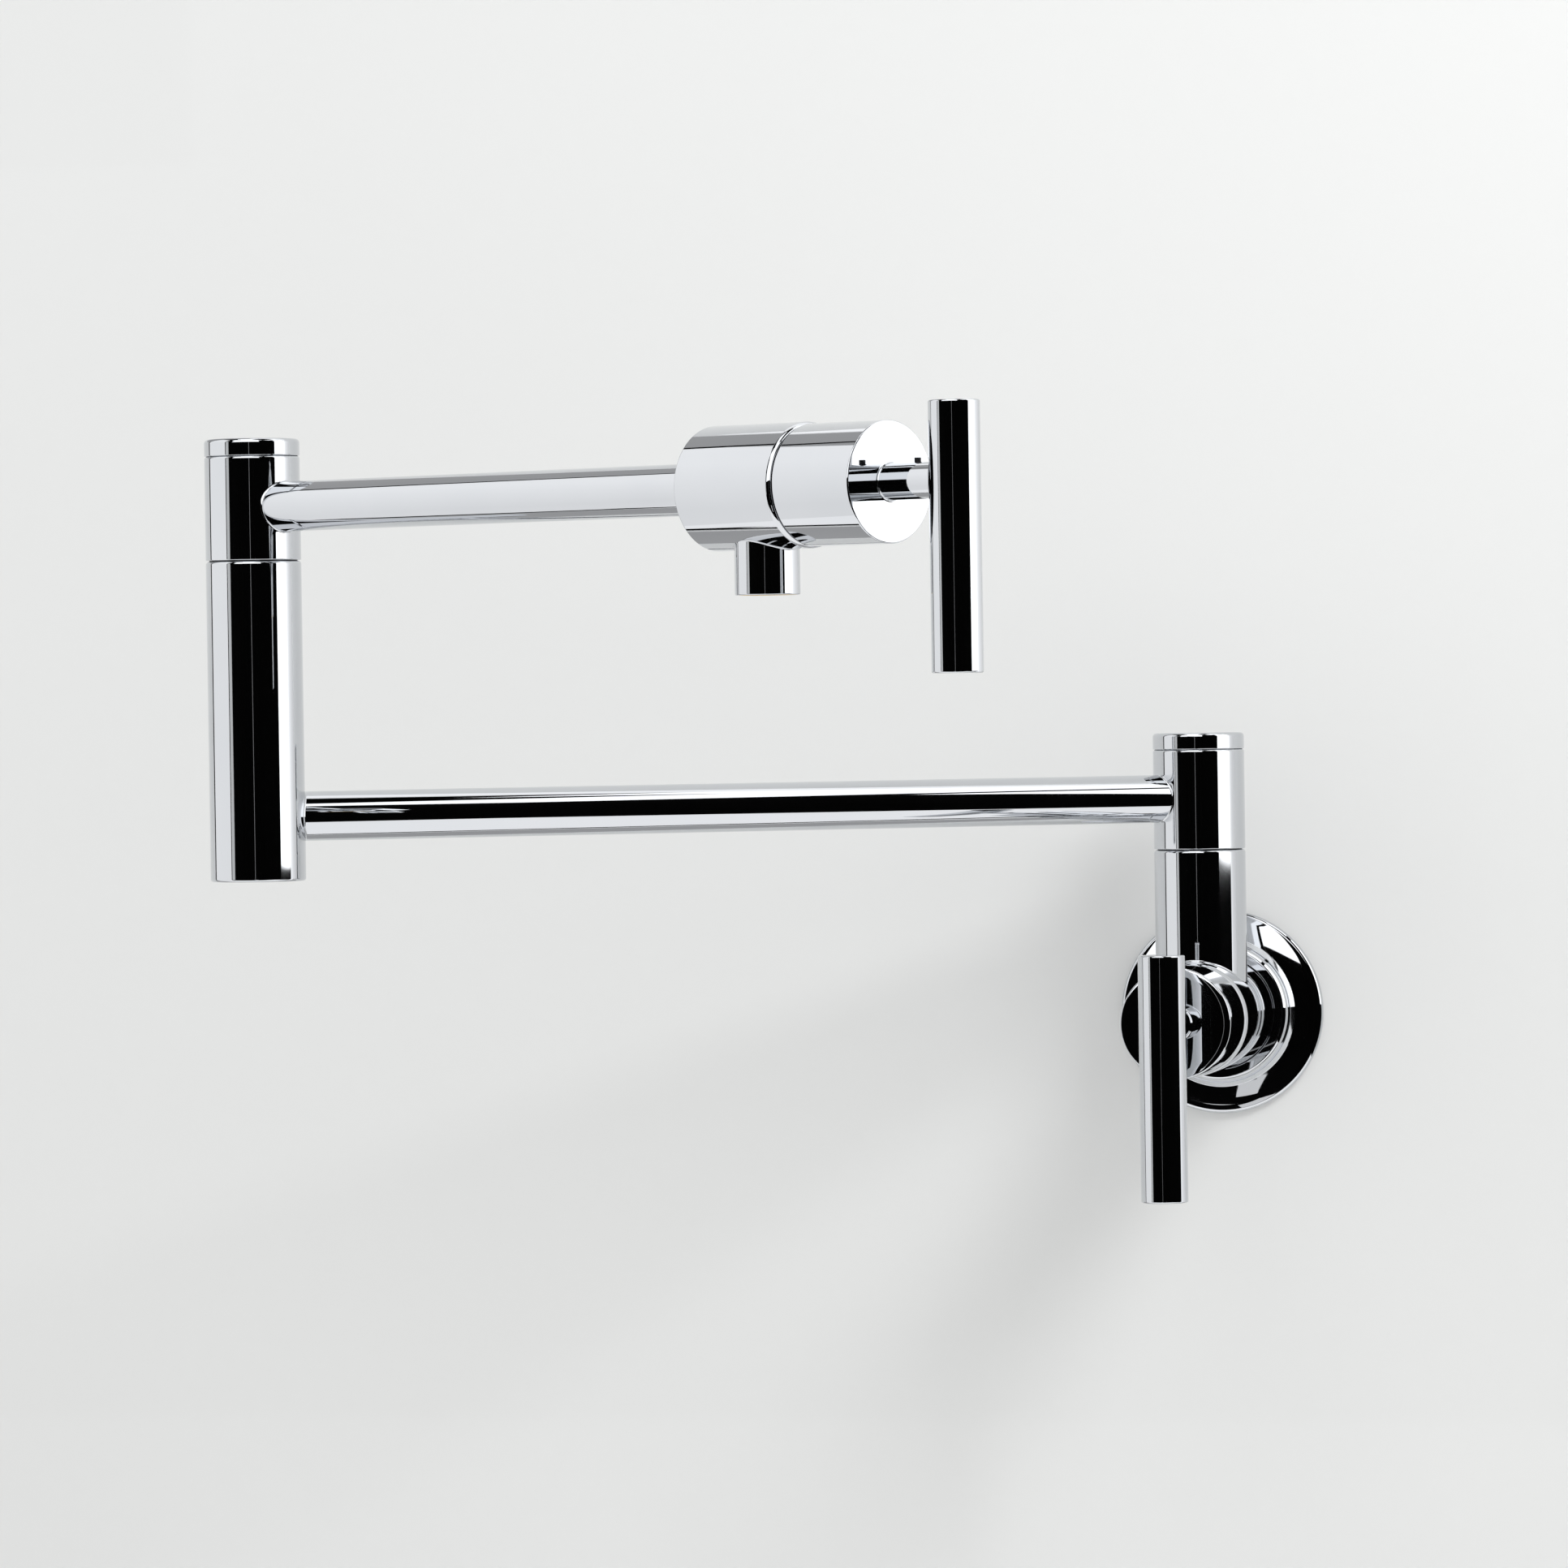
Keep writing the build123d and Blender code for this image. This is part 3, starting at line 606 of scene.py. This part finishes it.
# %% [markdown]
# ## Wall flange
#
# The flange hides the hole in the wall. From the wall out it has a rounded rim, a wide band
# that bulges very slightly, a thin step, a rounded shoulder and a flat crown that hugs the
# barrel. Each of them shows as its own ring of light, so the curves are drawn as true arcs.

# %% Flange
FLANGE_STEPS = 192
FLANGE_RIM = 1.3                # rounding of the outer rim
FOOT_BREAK = 0.2                # and where the rim meets the wall
RIM_HEIGHT = 2.9
BAND_INNER_R = 25.4             # where the wide band ends and the step starts
BAND_HEIGHT = 4.4
BAND_BULGE = 0.15
BAND_EDGE = 0.15
STEP_R = 24.0
STEP_HEIGHT = 6.0
STEP_EDGE = 0.25
SHOULDER_BULGE = 0.5
CROWN_R = 22.2
CROWN_HEIGHT = 10.2
CROWN_EDGE = 0.4
HOLE_CLEARANCE = 0.2
HOLE_EDGE = 0.2
NECK_WALL = 3.6                 # of the short neck behind the crown
NECK_FOOT = 4.2
GASKET_SPACE = 1.4
RIM_SEAT = 2.0                  # width of the rim's foot, outside the gasket
BOW_STEPS = 10


def bowed(start, end, sag, steps=BOW_STEPS):
    """Corners between two points along a shallow arc that leaves the straight line by a sag."""
    (start_r, start_h), (end_r, end_h) = start, end
    length = math.hypot(end_r - start_r, end_h - start_h)
    off_r = (end_h - start_h) / length * sag
    off_h = -(end_r - start_r) / length * sag
    corners = []
    for step in range(1, steps):
        share = step / steps
        bow = 4 * share * (1 - share)
        corners.append(
            (
                start_r + (end_r - start_r) * share + off_r * bow,
                start_h + (end_h - start_h) * share + off_h * bow,
            )
        )
    return corners


flange_r = measured("wall_flange", flange_place)[1].x
hole_r = barrel_r + HOLE_CLEARANCE
gasket_r = flange_r - RIM_SEAT
rim_top = (flange_r - FLANGE_RIM, RIM_HEIGHT)
band_top = (BAND_INNER_R, BAND_HEIGHT)
step_top = (STEP_R, STEP_HEIGHT)
shoulder_top = (CROWN_R + CROWN_EDGE, CROWN_HEIGHT - CROWN_EDGE)
flange_bell = turned(
    [(gasket_r, 0), (flange_r, 0, FOOT_BREAK), (flange_r, RIM_HEIGHT, FLANGE_RIM)]
    + bowed(rim_top, band_top, BAND_BULGE)
    + [(*band_top, BAND_EDGE), (*step_top, STEP_EDGE)]
    + bowed(step_top, shoulder_top, SHOULDER_BULGE)
    + [
        (CROWN_R, CROWN_HEIGHT, CROWN_EDGE),
        (hole_r, CROWN_HEIGHT, HOLE_EDGE),
        (hole_r, NECK_FOOT),
        (hole_r + NECK_WALL, NECK_FOOT),
        (hole_r + NECK_WALL, GASKET_SPACE),
        (gasket_r, GASKET_SPACE),
    ],
    FLANGE_STEPS,
)
finished("flange_bell", flange_bell, flange_place, "wall_mount", ["wall_flange"], wall_axis_chrome)

# %% [markdown]
# ## Swivels
#
# Each swivel is a sleeve that turns on a hidden pin, with a lid on top. A dark plastic washer
# lies in the seam below the sleeve. At the seam and at the lid line the lower piece has a
# rounded edge that catches a thread of light, and the upper piece is nearly sharp.

# %% Sleeves and lids
SLEEVE_BORE_R = 10.55
COUNTERBORE_R = 12.6            # the lid's plug goes in here
COUNTERBORE_DEPTH = 5.0
LID_PLAY = 0.05
LID_WALL = 2.0
LID_TOP = 2.6                   # thickness of the lid's top


def sleeve(name, place, body):
    """Turning sleeve of one swivel."""
    low, high = measured(f"{name}_hub", place)
    bench = turned(
        [
            (SLEEVE_BORE_R, low.z),
            (column_r, low.z, UPPER_EDGE),
            (column_r, high.z, LID_EDGE),
            (COUNTERBORE_R, high.z),
            (COUNTERBORE_R, high.z - COUNTERBORE_DEPTH),
            (SLEEVE_BORE_R, high.z - COUNTERBORE_DEPTH),
        ]
    )
    hub = [f"{name}_hub"]
    finished(f"{name}_sleeve", bench, place, body, hub, upright_chrome, bare_brass)


def lid(name, place, body):
    """Lid pressed into the top of a sleeve."""
    low, high = measured(f"{name}_cap", place)
    seam = measured(f"{name}_hub", place)[1].z
    plug_r = COUNTERBORE_R - LID_PLAY
    bench = turned(
        [
            (plug_r - LID_WALL, low.z),
            (plug_r, low.z),
            (plug_r, seam),
            (column_r, seam, UPPER_EDGE),
            (column_r, high.z, TOP_EDGE),
            (0, high.z),
            (0, high.z - LID_TOP),
            (plug_r - LID_WALL, high.z - LID_TOP),
        ]
    )
    finished(f"{name}_lid", bench, place, body, [f"{name}_cap"], upright_chrome)


sleeve("shoulder", shoulder_place, "lower_arm")
lid("shoulder", shoulder_place, "lower_arm")
sleeve("elbow", elbow_place, "upper_arm")
lid("elbow", elbow_place, "upper_arm")

# %% [markdown]
# ## Elbow post and the two arms
#
# The post is a bored bar, closed at its foot. The arms are thin tubes. The lower one has a
# saddle at both ends, the upper one a saddle at the elbow and a plain cove on the flat back of
# the spout valve.

# %% Post
POST_BORE_R = 7.5
POST_FLOOR = 6.0

post_low, post_high = measured("elbow_post", elbow_place)
post = turned(
    [
        (0, post_low.z),
        (column_r, post_low.z, FOOT_EDGE),
        (column_r, post_high.z, SEAM_EDGE),
        (SOCKET_R, post_high.z),
        (SOCKET_R, post_high.z - SOCKET_DEPTH),
        (POST_BORE_R, post_high.z - SOCKET_DEPTH),
        (POST_BORE_R, post_low.z + POST_FLOOR),
        (0, post_low.z + POST_FLOOR),
    ]
)
finished("post", post, elbow_place, "lower_arm", ["elbow_post"], upright_chrome, bare_brass)

# %% Arms
TUBE_WALL = 1.2


def pipe(arm, place, length, chrome, to_column):
    """Thin tube from the column at its start to another column or to a flat back."""
    tube_bore_r = tube_r - TUBE_WALL
    bench = turned(
        [(tube_bore_r, 0)]
        + cove(tube_r, 0)
        + cove(tube_r, length, rising=False)
        + [(tube_bore_r, length)]
    )
    seated(bench, column_r, low=END_ZONE, high=length - END_ZONE if to_column else None)
    nodes = [f"{arm}_arm_tube"]
    finished(f"{arm}_pipe", bench, place, f"{arm}_arm", nodes, chrome, bare_brass)
    print(f"{arm} arm: {length:.1f} mm from the axis it starts at")


upper_reach = (spout_seam - Vector((elbow.x, elbow.y, spout_seam.z))).length / MM + spout_back
pipe("lower", lower_arm_place, arm_span, lower_arm_chrome, to_column=True)
pipe("upper", upper_arm_place, upper_reach, upper_arm_chrome, to_column=False)

# %% [markdown]
# ## Spout valve
#
# A shorter barrel, whose back takes the upper arm's tube, and the round mouth under it. The
# mouth has a thin lip round the flow straightener, which stays as it comes from the frame.

# %% Barrel of the spout valve
SPOUT_BACK_EDGE = 0.5

spout_barrel = turned(
    [(BORE_R, spout_back), (barrel_r, spout_back, SPOUT_BACK_EDGE)]
    + rolled_rim(*SPOUT_ROLL)
    + [
        (CHAMBER_R, 0),
        (CHAMBER_R, -CHAMBER_DEPTH),
        (BORE_R, -CHAMBER_DEPTH),
    ]
)
finished(
    "spout_barrel",
    spout_barrel,
    spout_valve_place,
    "upper_arm",
    ["spout_valve_body"],
    upper_arm_chrome,
    bare_brass,
)

# %% Mouth of the spout
MOUTH_BORE_R = 6.2
MOUTH_SEAT_R = 8.5
MOUTH_SEAT_DEPTH = 11.6
MOUTH_COVE = 0.4
LIP_R = 8.7
LIP_DEPTH = 5.0
LIP_EDGE = 0.4
LIP_INNER_EDGE = 0.2

mouth_low, mouth_high = measured("outlet_spout", spout_valve_place)
mouth_centre = spout_valve_place @ Vector((0, 0, (mouth_low.z + mouth_high.z) / 2))
mouth_place = axes(mouth_centre, -UP, upper_direction)
mouth_end = measured("outlet_spout", mouth_place)[1].z
mouth_r = measured("outlet_spout", mouth_place)[1].x
mouth = turned(
    [(MOUTH_BORE_R, 0)]
    + cove(mouth_r, 0, MOUTH_COVE)
    + [
        (mouth_r, mouth_end, LIP_EDGE),
        (LIP_R, mouth_end, LIP_INNER_EDGE),
        (LIP_R, mouth_end - LIP_DEPTH),
        (MOUTH_SEAT_R, mouth_end - LIP_DEPTH),
        (MOUTH_SEAT_R, mouth_end - MOUTH_SEAT_DEPTH),
        (MOUTH_BORE_R, mouth_end - MOUTH_SEAT_DEPTH),
    ]
)
seated(mouth, barrel_r, low=END_ZONE)
finished("mouth", mouth, mouth_place, "upper_arm", ["outlet_spout"], upright_chrome, bare_brass)

# %% [markdown]
# ## Handles
#
# Both valves have the same handle: a hollow drum that carries on the line of the barrel but is
# a little slimmer, a slim neck, and a long lever bar across its end. The drum turns a hair's
# breadth in front of the barrel's rolled rim, which draws a bright line. The face of the wall
# drum was polished by hand, so it falls away slightly towards its edge. That of the spout drum
# is flat and mirrors one card whole.

# %% Drum, neck and lever
DRUM_BACK_EDGE = 0.6
FACE_FLAT_R = 15.2              # a rolled face is flat inside this radius
FACE_ROLL_R = 14.2              # and falls away outside it along an arc this big
FACE_EDGE = 0.45
FACE_STEPS = 8
DRUM_WALL = 2.8
DRUM_FACE_WALL = 4.0
BOSS_R = 7.5
BOSS_PLAY = 0.4                 # between the spindle's clip and the boss
SPINDLE_R = 4.05
SCREW_R = 2.1
SCREW_SEAT = 4.0                # floor between the spindle's end and the screw's head
NECK_THREAD_R = 4.9
NECK_THREAD = 4.2
NECK_FLARE = 0.6                # cove where the neck leaves the drum
NECK_COVE = 0.3                 # and where it meets the lever
NECK_END_ZONE = 1.0             # the stretch that slides onto the lever
LEVER_EDGE = 0.6
QUARTER_TURN = math.pi / 2


def flat_face(face):
    """The one corner at the edge of a flat drum face."""
    return [(drum_r, face, FACE_EDGE)]


def rolled_face(face):
    """Corners of a hand polished drum face, from its edge in to where it is flat."""
    corners = []
    for step in range(FACE_STEPS + 1):
        radius = drum_r + (FACE_FLAT_R - drum_r) * step / FACE_STEPS
        corners.append((radius, face - (radius - FACE_FLAT_R) ** 2 / (2 * FACE_ROLL_R)))
    return [(*corners[0], FACE_EDGE)] + corners[2:]


def drum(name, place, chrome, face_corners):
    """Hollow drum of one handle, splined on the spindle."""
    low, high = measured(f"{name}_handle_skirt", place)
    gap, face = low.z, high.z
    boss_low = measured(f"{name}_spindle_clip", place)[1].z + BOSS_PLAY
    spindle_top = measured(f"{name}_spindle", place)[1].z
    screw_seat = spindle_top + SCREW_SEAT
    bench = turned(
        [
            (SPINDLE_R, boss_low),
            (BOSS_R, boss_low),
            (BOSS_R, face - DRUM_FACE_WALL),
            (drum_r - DRUM_WALL, face - DRUM_FACE_WALL),
            (drum_r - DRUM_WALL, gap),
            (drum_r, gap, DRUM_BACK_EDGE),
            *face_corners(face),
            (NECK_THREAD_R, face),
            (NECK_THREAD_R, screw_seat),
            (SCREW_R, screw_seat),
            (SCREW_R, spindle_top),
            (SPINDLE_R, spindle_top),
        ]
    )
    skirt = [f"{name}_handle_skirt"]
    finished(f"{name}_drum", bench, place, f"{name}_handle", skirt, chrome, bare_brass)
    return face


def neck(name, place, chrome, face, lever_z):
    """Slim neck from the drum's face to the lever."""
    neck_r = measured(f"{name}_handle_stem", place)[1].x - NECK_FLARE
    bench = turned(
        [(0, face - NECK_THREAD), (NECK_THREAD_R, face - NECK_THREAD), (NECK_THREAD_R, face)]
        + cove(neck_r, face, NECK_FLARE)
        + cove(neck_r, lever_z, NECK_COVE, rising=False)
        + [(0, lever_z)]
    )
    seated(bench, bar_r, high=lever_z - NECK_END_ZONE)
    finished(f"{name}_neck", bench, place, f"{name}_handle", [f"{name}_handle_stem"], chrome)


def lever(name, place, low, high, lever_z):
    """Bar across the end of the neck, turned about its own length."""
    bench = turned(
        [(0, low), (bar_r, low, LEVER_EDGE), (bar_r, high, LEVER_EDGE), (0, high)]
    )
    lying = Matrix.Translation((0, 0, lever_z)) @ Matrix.Rotation(-QUARTER_TURN, 4, "X")
    bar = [f"{name}_handle_bar"]
    finished(f"{name}_lever", bench, place @ lying, f"{name}_handle", bar, upright_chrome)


def handle(name, place, chrome, face_corners):
    """The three chrome pieces of one handle."""
    face = drum(name, place, chrome, face_corners)
    low, high = measured(f"{name}_handle_bar", place)
    lever_z = high.z - bar_r
    neck(name, place, chrome, face, lever_z)
    lever(name, place, low.y, high.y, lever_z)
    print(f"{name} handle: face at {face:.1f} mm, lever axis at {lever_z:.1f} mm from the seam")


handle("wall", wall_valve_place, wall_axis_chrome, rolled_face)
handle("spout", spout_valve_place, upper_arm_chrome, flat_face)

# %% [markdown]
# ## The studio
#
# Chrome shows the room. The bands on the columns say what this room was: a pale wall behind, a
# pale table below, a tall white card at each side, one overhead, and darkness behind the
# camera. An environment picture could stand in for it, but a sheet of its own for each band can
# be moved until that band is right, so the studio is built from sheets.
#
# The wall and the table are seen by the camera, take shadows, and are clear from behind, so
# that the object can be looked at from the back and from below. The big cards are light: they
# shine on everything and show in the chrome. All other sheets are only mirrored. Some glow
# close to the wall and the table, dimmer or brighter than these: a painted reflection that
# gives the wall and the table more light and shade in the chrome than they have. Others are
# thin black strips that draw the dark lines beside the bands, and small cards in front that put
# the pale patches on the round faces. The rest are black flags, which close the room off.

# %% Stage materials
WALL_COLOUR = (0.80, 0.805, 0.80)
WALL_ROUGHNESS = 0.4
TABLE_COLOUR = (0.78, 0.78, 0.775)
TABLE_ROUGHNESS = 0.5
CLOUD_SIZE = 0.25
CLOUD_DETAIL = 3.0
CLOUD_SHADE = 0.985             # how much darker the paint's clouds get
CLOTH_BLACK = (0.002, 0.002, 0.002, 1)
WHITE = (1, 1, 1, 1)


def pale_surface(name, colour, roughness):
    """Plain painted surface that is clear from behind."""
    material, tree, coordinates = started(name)
    clouds = noise(tree, coordinates, CLOUD_SIZE, CLOUD_DETAIL)
    cloudy = mixed(tree, clouds, [CLOUD_SHADE * part for part in colour], colour)
    paint = surface(tree, Base__Color=cloudy, Roughness=roughness).outputs[0]
    clear = tree.nodes.new("ShaderNodeBsdfTransparent").outputs[0]
    behind = tree.nodes.new("ShaderNodeNewGeometry").outputs["Backfacing"]
    sides = wired(tree, "ShaderNodeMixShader", {0: behind, 1: paint, 2: clear})
    return ended(material, tree, sides)


def fading_card(name, axis, start, end):
    """Glow that changes along an axis, from one (place, strength) to another."""
    material, tree, coordinates = started(name)
    place = wired(tree, "ShaderNodeSeparateXYZ", {"Vector": coordinates}).outputs[axis]
    places = {"From Min": start[0], "From Max": end[0]}
    strengths = {"To Min": start[1], "To Max": end[1]}
    fade = wired(tree, "ShaderNodeMapRange", {"Value": place, **places, **strengths})
    glow = {"Color": WHITE, "Strength": fade.outputs["Result"]}
    return ended(material, tree, wired(tree, "ShaderNodeEmission", glow))


def lit_card(name, strength):
    """Even glow of a white card: as strong at one end as at the other."""
    return fading_card(name, "Z", (-1.0, strength), (1.0, strength))


def black_flag(name):
    """Matt black cloth."""
    material, tree, _ = started(name)
    return ended(material, tree, wired(tree, "ShaderNodeBsdfDiffuse", {"Color": CLOTH_BLACK}))


wall_paint = pale_surface("wall_paint", WALL_COLOUR, WALL_ROUGHNESS)
table_paint = pale_surface("table_paint", TABLE_COLOUR, TABLE_ROUGHNESS)
left_glow = fading_card("left_card_glow", "Z", (-0.25, 1.05), (0.65, 1.24))
right_glow = lit_card("right_card_glow", 2.1)
top_glow = lit_card("top_card_glow", 1.7)
# painted reflection: a mirrored glow that makes the table look brighter in the chrome than it renders
low_glow = lit_card("bright_table_glow", 1.22)
# painted reflection: a mirrored glow that makes the wall look brighter high up in the chrome
bright_high_wall_glow = lit_card("bright_high_wall_glow", 1.35)
# painted light: a mirrored glow that makes the wall look brighter towards the right, where light falls on
# it
lit_right_wall_glow = fading_card("lit_right_wall_glow", "X", (0.10, 0.85), (0.80, 1.55))
# painted reflection: a dim mirrored glow that makes the wall look darker in the chrome, high on the left
# and low near the table
wall_dimmed_glow = lit_card("wall_dimmed_glow", 0.45)
faint_glow = lit_card("faint_strip_glow", 0.3)
front_high_glow = lit_card("front_high_glow", 1.7)
front_low_glow = lit_card("front_low_glow", 0.85)
flag_cloth = black_flag("flag_cloth")
print("finishes of the stage are made")

# %% A sheet of the studio
OBJECT_MIDDLE = Vector((-0.1, -0.2, 0.07))


def sheet_of_studio(name, low, high, finish, part):
    """Flat rectangle between two opposite corners that share one coordinate, facing the object."""
    low, high = Vector(low), Vector(high)
    centre = (low + high) / 2
    spans = high - low
    flat = min(range(3), key=lambda axis: abs(spans[axis]))
    normal = Vector((0, 0, 0))
    normal[flat] = 1 if centre[flat] < OBJECT_MIDDLE[flat] else -1
    side, rise = [axis for axis in range(3) if axis != flat]
    bench = bmesh.new()
    vertices = []
    for side_end, rise_end in ((low, low), (high, low), (high, high), (low, high)):
        point = centre.copy()
        point[side] = side_end[side]
        point[rise] = rise_end[rise]
        vertices.append(bench.verts.new(point))
    face = bench.faces.new(vertices)
    face.normal_update()
    if face.normal.dot(normal) < 0:
        bmesh.ops.reverse_faces(bench, faces=[face])
    mesh = bpy.data.meshes.new(name)
    bench.to_mesh(mesh)
    bench.free()
    mesh.materials.append(finish)
    made = bpy.data.objects.new(name, mesh)
    bpy.context.scene.collection.objects.link(made)
    made.visible_camera = part == "seen"
    made.visible_diffuse = part != "mirrored"
    made.visible_shadow = part == "seen"


# %% The sheets
ROOM_SIDE = 1.6                 # half width of the wall, and its height above the pipe
ROOM_LEFT = -0.90
ROOM_RIGHT = 0.88
ROOM_TOP = 1.20
ROOM_FLOOR = -0.60
TABLE_FRONT = -1.0
CARD_TOP = 1.04
CARD_FOOT = 0.034               # the right card hangs this high, black below
OFF_WALL = -0.004               # cards that hang just in front of the wall
OFF_TABLE = -0.59               # and that lie just above the table
OFF_TABLE_FOOT = -0.58
FRONT_CARDS = -1.3
FRONT = -3.40                   # the black end of the room, behind the camera
FAR_TOP = 4.5                   # the far card, above the open front of the room
BLACK_LEFT = -0.95              # the flags stand just outside the cards
BLACK_RIGHT = 0.93
BLACK_TOP = 1.25
BLACK_FLOOR = -0.62
FLAG_SIDE = 3.0
FLAG_FOOT = -2.0
FLAG_TOP = 3.0

STAGE = {
    "seen": [
        ("wall", (-ROOM_SIDE, 0.0, ROOM_FLOOR), (ROOM_SIDE, 0.0, ROOM_SIDE), wall_paint),
        ("table", (-ROOM_SIDE, TABLE_FRONT, ROOM_FLOOR), (ROOM_SIDE, 0.0, ROOM_FLOOR), table_paint),
    ],
    "light": [
        ("left_card", (ROOM_LEFT, -0.766, ROOM_FLOOR), (ROOM_LEFT, -0.05, CARD_TOP), left_glow),
        ("right_card", (ROOM_RIGHT, -0.60, CARD_FOOT), (ROOM_RIGHT, -0.01, CARD_TOP), right_glow),
        ("top_card", (0.45, -0.825, ROOM_TOP), (ROOM_RIGHT, -0.01, ROOM_TOP), top_glow),
        ("top_card_wing", (0.27, -0.22, ROOM_TOP), (0.45, -0.01, ROOM_TOP), top_glow),
        ("far_card", (-ROOM_SIDE, -3.2, FAR_TOP), (0.36, -0.02, FAR_TOP), top_glow),
    ],
    "mirrored": [
        # painted reflection of the table, brighter than the table itself
        ("low_card", (-ROOM_SIDE, TABLE_FRONT, OFF_TABLE), (0.92, -0.070, OFF_TABLE), low_glow),
        ("low_strip", (-ROOM_SIDE, -0.070, OFF_TABLE), (0.92, -0.035, OFF_TABLE), flag_cloth),
        # painted reflection of the wall, brighter high up
        ("bright_high_wall_reflection", (-0.34, OFF_WALL, 0.55), (0.60, OFF_WALL, 1.19), bright_high_wall_glow),
        # painted reflection of the wall, lit brighter towards the right
        ("lit_right_wall_reflection", (0.16, OFF_WALL, OFF_TABLE_FOOT), (0.87, OFF_WALL, 0.54), lit_right_wall_glow),
        # painted reflection of the wall, darker high on the left
        ("dimmed_wall_reflection", (-ROOM_SIDE, OFF_WALL, 0.30), (-0.36, OFF_WALL, ROOM_SIDE), wall_dimmed_glow),
        # painted reflection of the wall, darker low near the table
        ("dimmed_wall_foot_reflection", (-ROOM_SIDE, OFF_WALL, OFF_TABLE_FOOT), (0.15, OFF_WALL, -0.14), wall_dimmed_glow),
        ("front_high_card", (BLACK_LEFT, FRONT_CARDS, 0.29), (0.43, FRONT_CARDS, 1.24), front_high_glow),
        ("front_roof_card", (BLACK_LEFT, FRONT_CARDS, 1.24), (0.43, -0.826, 1.24), front_high_glow),
        ("front_low_card", (-0.13, FRONT_CARDS, -0.61), (0.02, FRONT_CARDS, -0.36), front_low_glow),
        ("faint_strip", (-0.015, -2.1, -1.0), (0.015, -2.1, 1.2), faint_glow),
        ("back_strip", (-0.775, -0.095, OFF_TABLE), (-0.775, -0.050, CARD_TOP), flag_cloth),
        ("side_strip", (-0.89, -0.750, OFF_TABLE), (-0.89, -0.710, CARD_TOP), flag_cloth),
        ("back_flag", (-0.8, 2.6, FLAG_FOOT), (0.8, 2.6, FLAG_TOP), flag_cloth),
        ("front_flag", (-FLAG_SIDE, FRONT, FLAG_FOOT), (FLAG_SIDE, FRONT, FLAG_TOP), flag_cloth),
        ("left_flag", (BLACK_LEFT, FRONT, FLAG_FOOT), (BLACK_LEFT, -0.967, FLAG_TOP), flag_cloth),
        ("right_flag", (BLACK_RIGHT, FRONT, FLAG_FOOT), (BLACK_RIGHT, -0.60, FLAG_TOP), flag_cloth),
        ("right_low_flag", (BLACK_RIGHT, -0.60, BLACK_FLOOR), (BLACK_RIGHT, 0.0, CARD_FOOT), flag_cloth),
        ("top_flag", (-FLAG_SIDE, FRONT, BLACK_TOP), (FLAG_SIDE, -0.825, BLACK_TOP), flag_cloth),
        ("ceiling_flag", (-6.0, -6.0, 4.6), (6.0, 0.5, 4.6), flag_cloth),
        ("floor_flag", (-FLAG_SIDE, FRONT, BLACK_FLOOR), (FLAG_SIDE, TABLE_FRONT, BLACK_FLOOR), flag_cloth),
    ],
}
for stage_part, sheets in STAGE.items():
    for sheet_name, low_corner, high_corner, sheet_finish in sheets:
        sheet_of_studio(sheet_name, low_corner, high_corner, sheet_finish, stage_part)
    print(f"sheets that are {stage_part}: {len(sheets)}")

# %% [markdown]
# ## Lamp and air
#
# The cards are too large and too near to throw a shadow that can be read. A small lamp high on
# the right does that, and is kept out of the chrome, which would show it as a hard square. An
# even pale air fills what the cards leave dark, so that a colour renders about as it is written.

# %% Key light
KEY_PLACE = Vector((0.95, -1.05, 1.25))
KEY_TARGET = Vector((-0.05, 0.0, 0.0))
KEY_SIZE = 0.6
KEY_POWER = 13.0

key_lamp = bpy.data.lights.new("key_light", "AREA")
key_lamp.size = KEY_SIZE
key_lamp.energy = KEY_POWER
key_light = bpy.data.objects.new("key_light", key_lamp)
bpy.context.scene.collection.objects.link(key_light)
aim = (KEY_TARGET - KEY_PLACE).to_track_quat("-Z", "Y").to_matrix().to_4x4()
key_light.matrix_world = Matrix.Translation(KEY_PLACE) @ aim
key_light.visible_glossy = False
print(f"key light: {(KEY_TARGET - KEY_PLACE).length:.2f} m from what it points at")

# %% World
AIR_COLOUR = (0.93, 0.935, 0.93, 1)
AIR_STRENGTH = 0.72

world = bpy.data.worlds.new("studio")
bpy.context.scene.world = world
world.use_nodes = True
sky = world.node_tree
sky.nodes.clear()
air = wired(sky, "ShaderNodeBackground", {"Color": AIR_COLOUR, "Strength": AIR_STRENGTH})
wired(sky, "ShaderNodeOutputWorld", {"Surface": air.outputs[0]})
print("air of the room:", AIR_STRENGTH)

# %% [markdown]
# ## Camera
#
# The camera stands almost three metres in front of the wall, a little to the right, with a
# long lens, so the object is drawn with very little perspective. Yaw, pitch and roll are three
# turns about its own axes, one after the other.

# %% Camera
CAMERA_PLACE = Vector((0.4273, -2.7416, 0.1069))
CAMERA_YAW = math.radians(11.923)
CAMERA_PITCH = math.radians(-0.562)
CAMERA_ROLL = math.radians(-0.875)
CAMERA_LENS = 186.8             # millimetres, as is the sensor
CAMERA_SENSOR = 36.0
CAMERA_RANGE = 50.0

lens = bpy.data.cameras.new("camera")
lens.lens = CAMERA_LENS
lens.sensor_width = CAMERA_SENSOR
lens.clip_end = CAMERA_RANGE
camera = bpy.data.objects.new("camera", lens)
bpy.context.scene.collection.objects.link(camera)
camera.matrix_world = (
    Matrix.Translation(CAMERA_PLACE)
    @ Matrix.Rotation(CAMERA_YAW, 4, "Z")
    @ Matrix.Rotation(math.pi / 2 + CAMERA_PITCH, 4, "X")
    @ Matrix.Rotation(CAMERA_ROLL, 4, "Z")
)
bpy.context.scene.camera = camera
bpy.context.scene.view_settings.view_transform = "Standard"
print(f"camera {-CAMERA_PLACE.y:.2f} m in front of the wall, lens {CAMERA_LENS} mm")
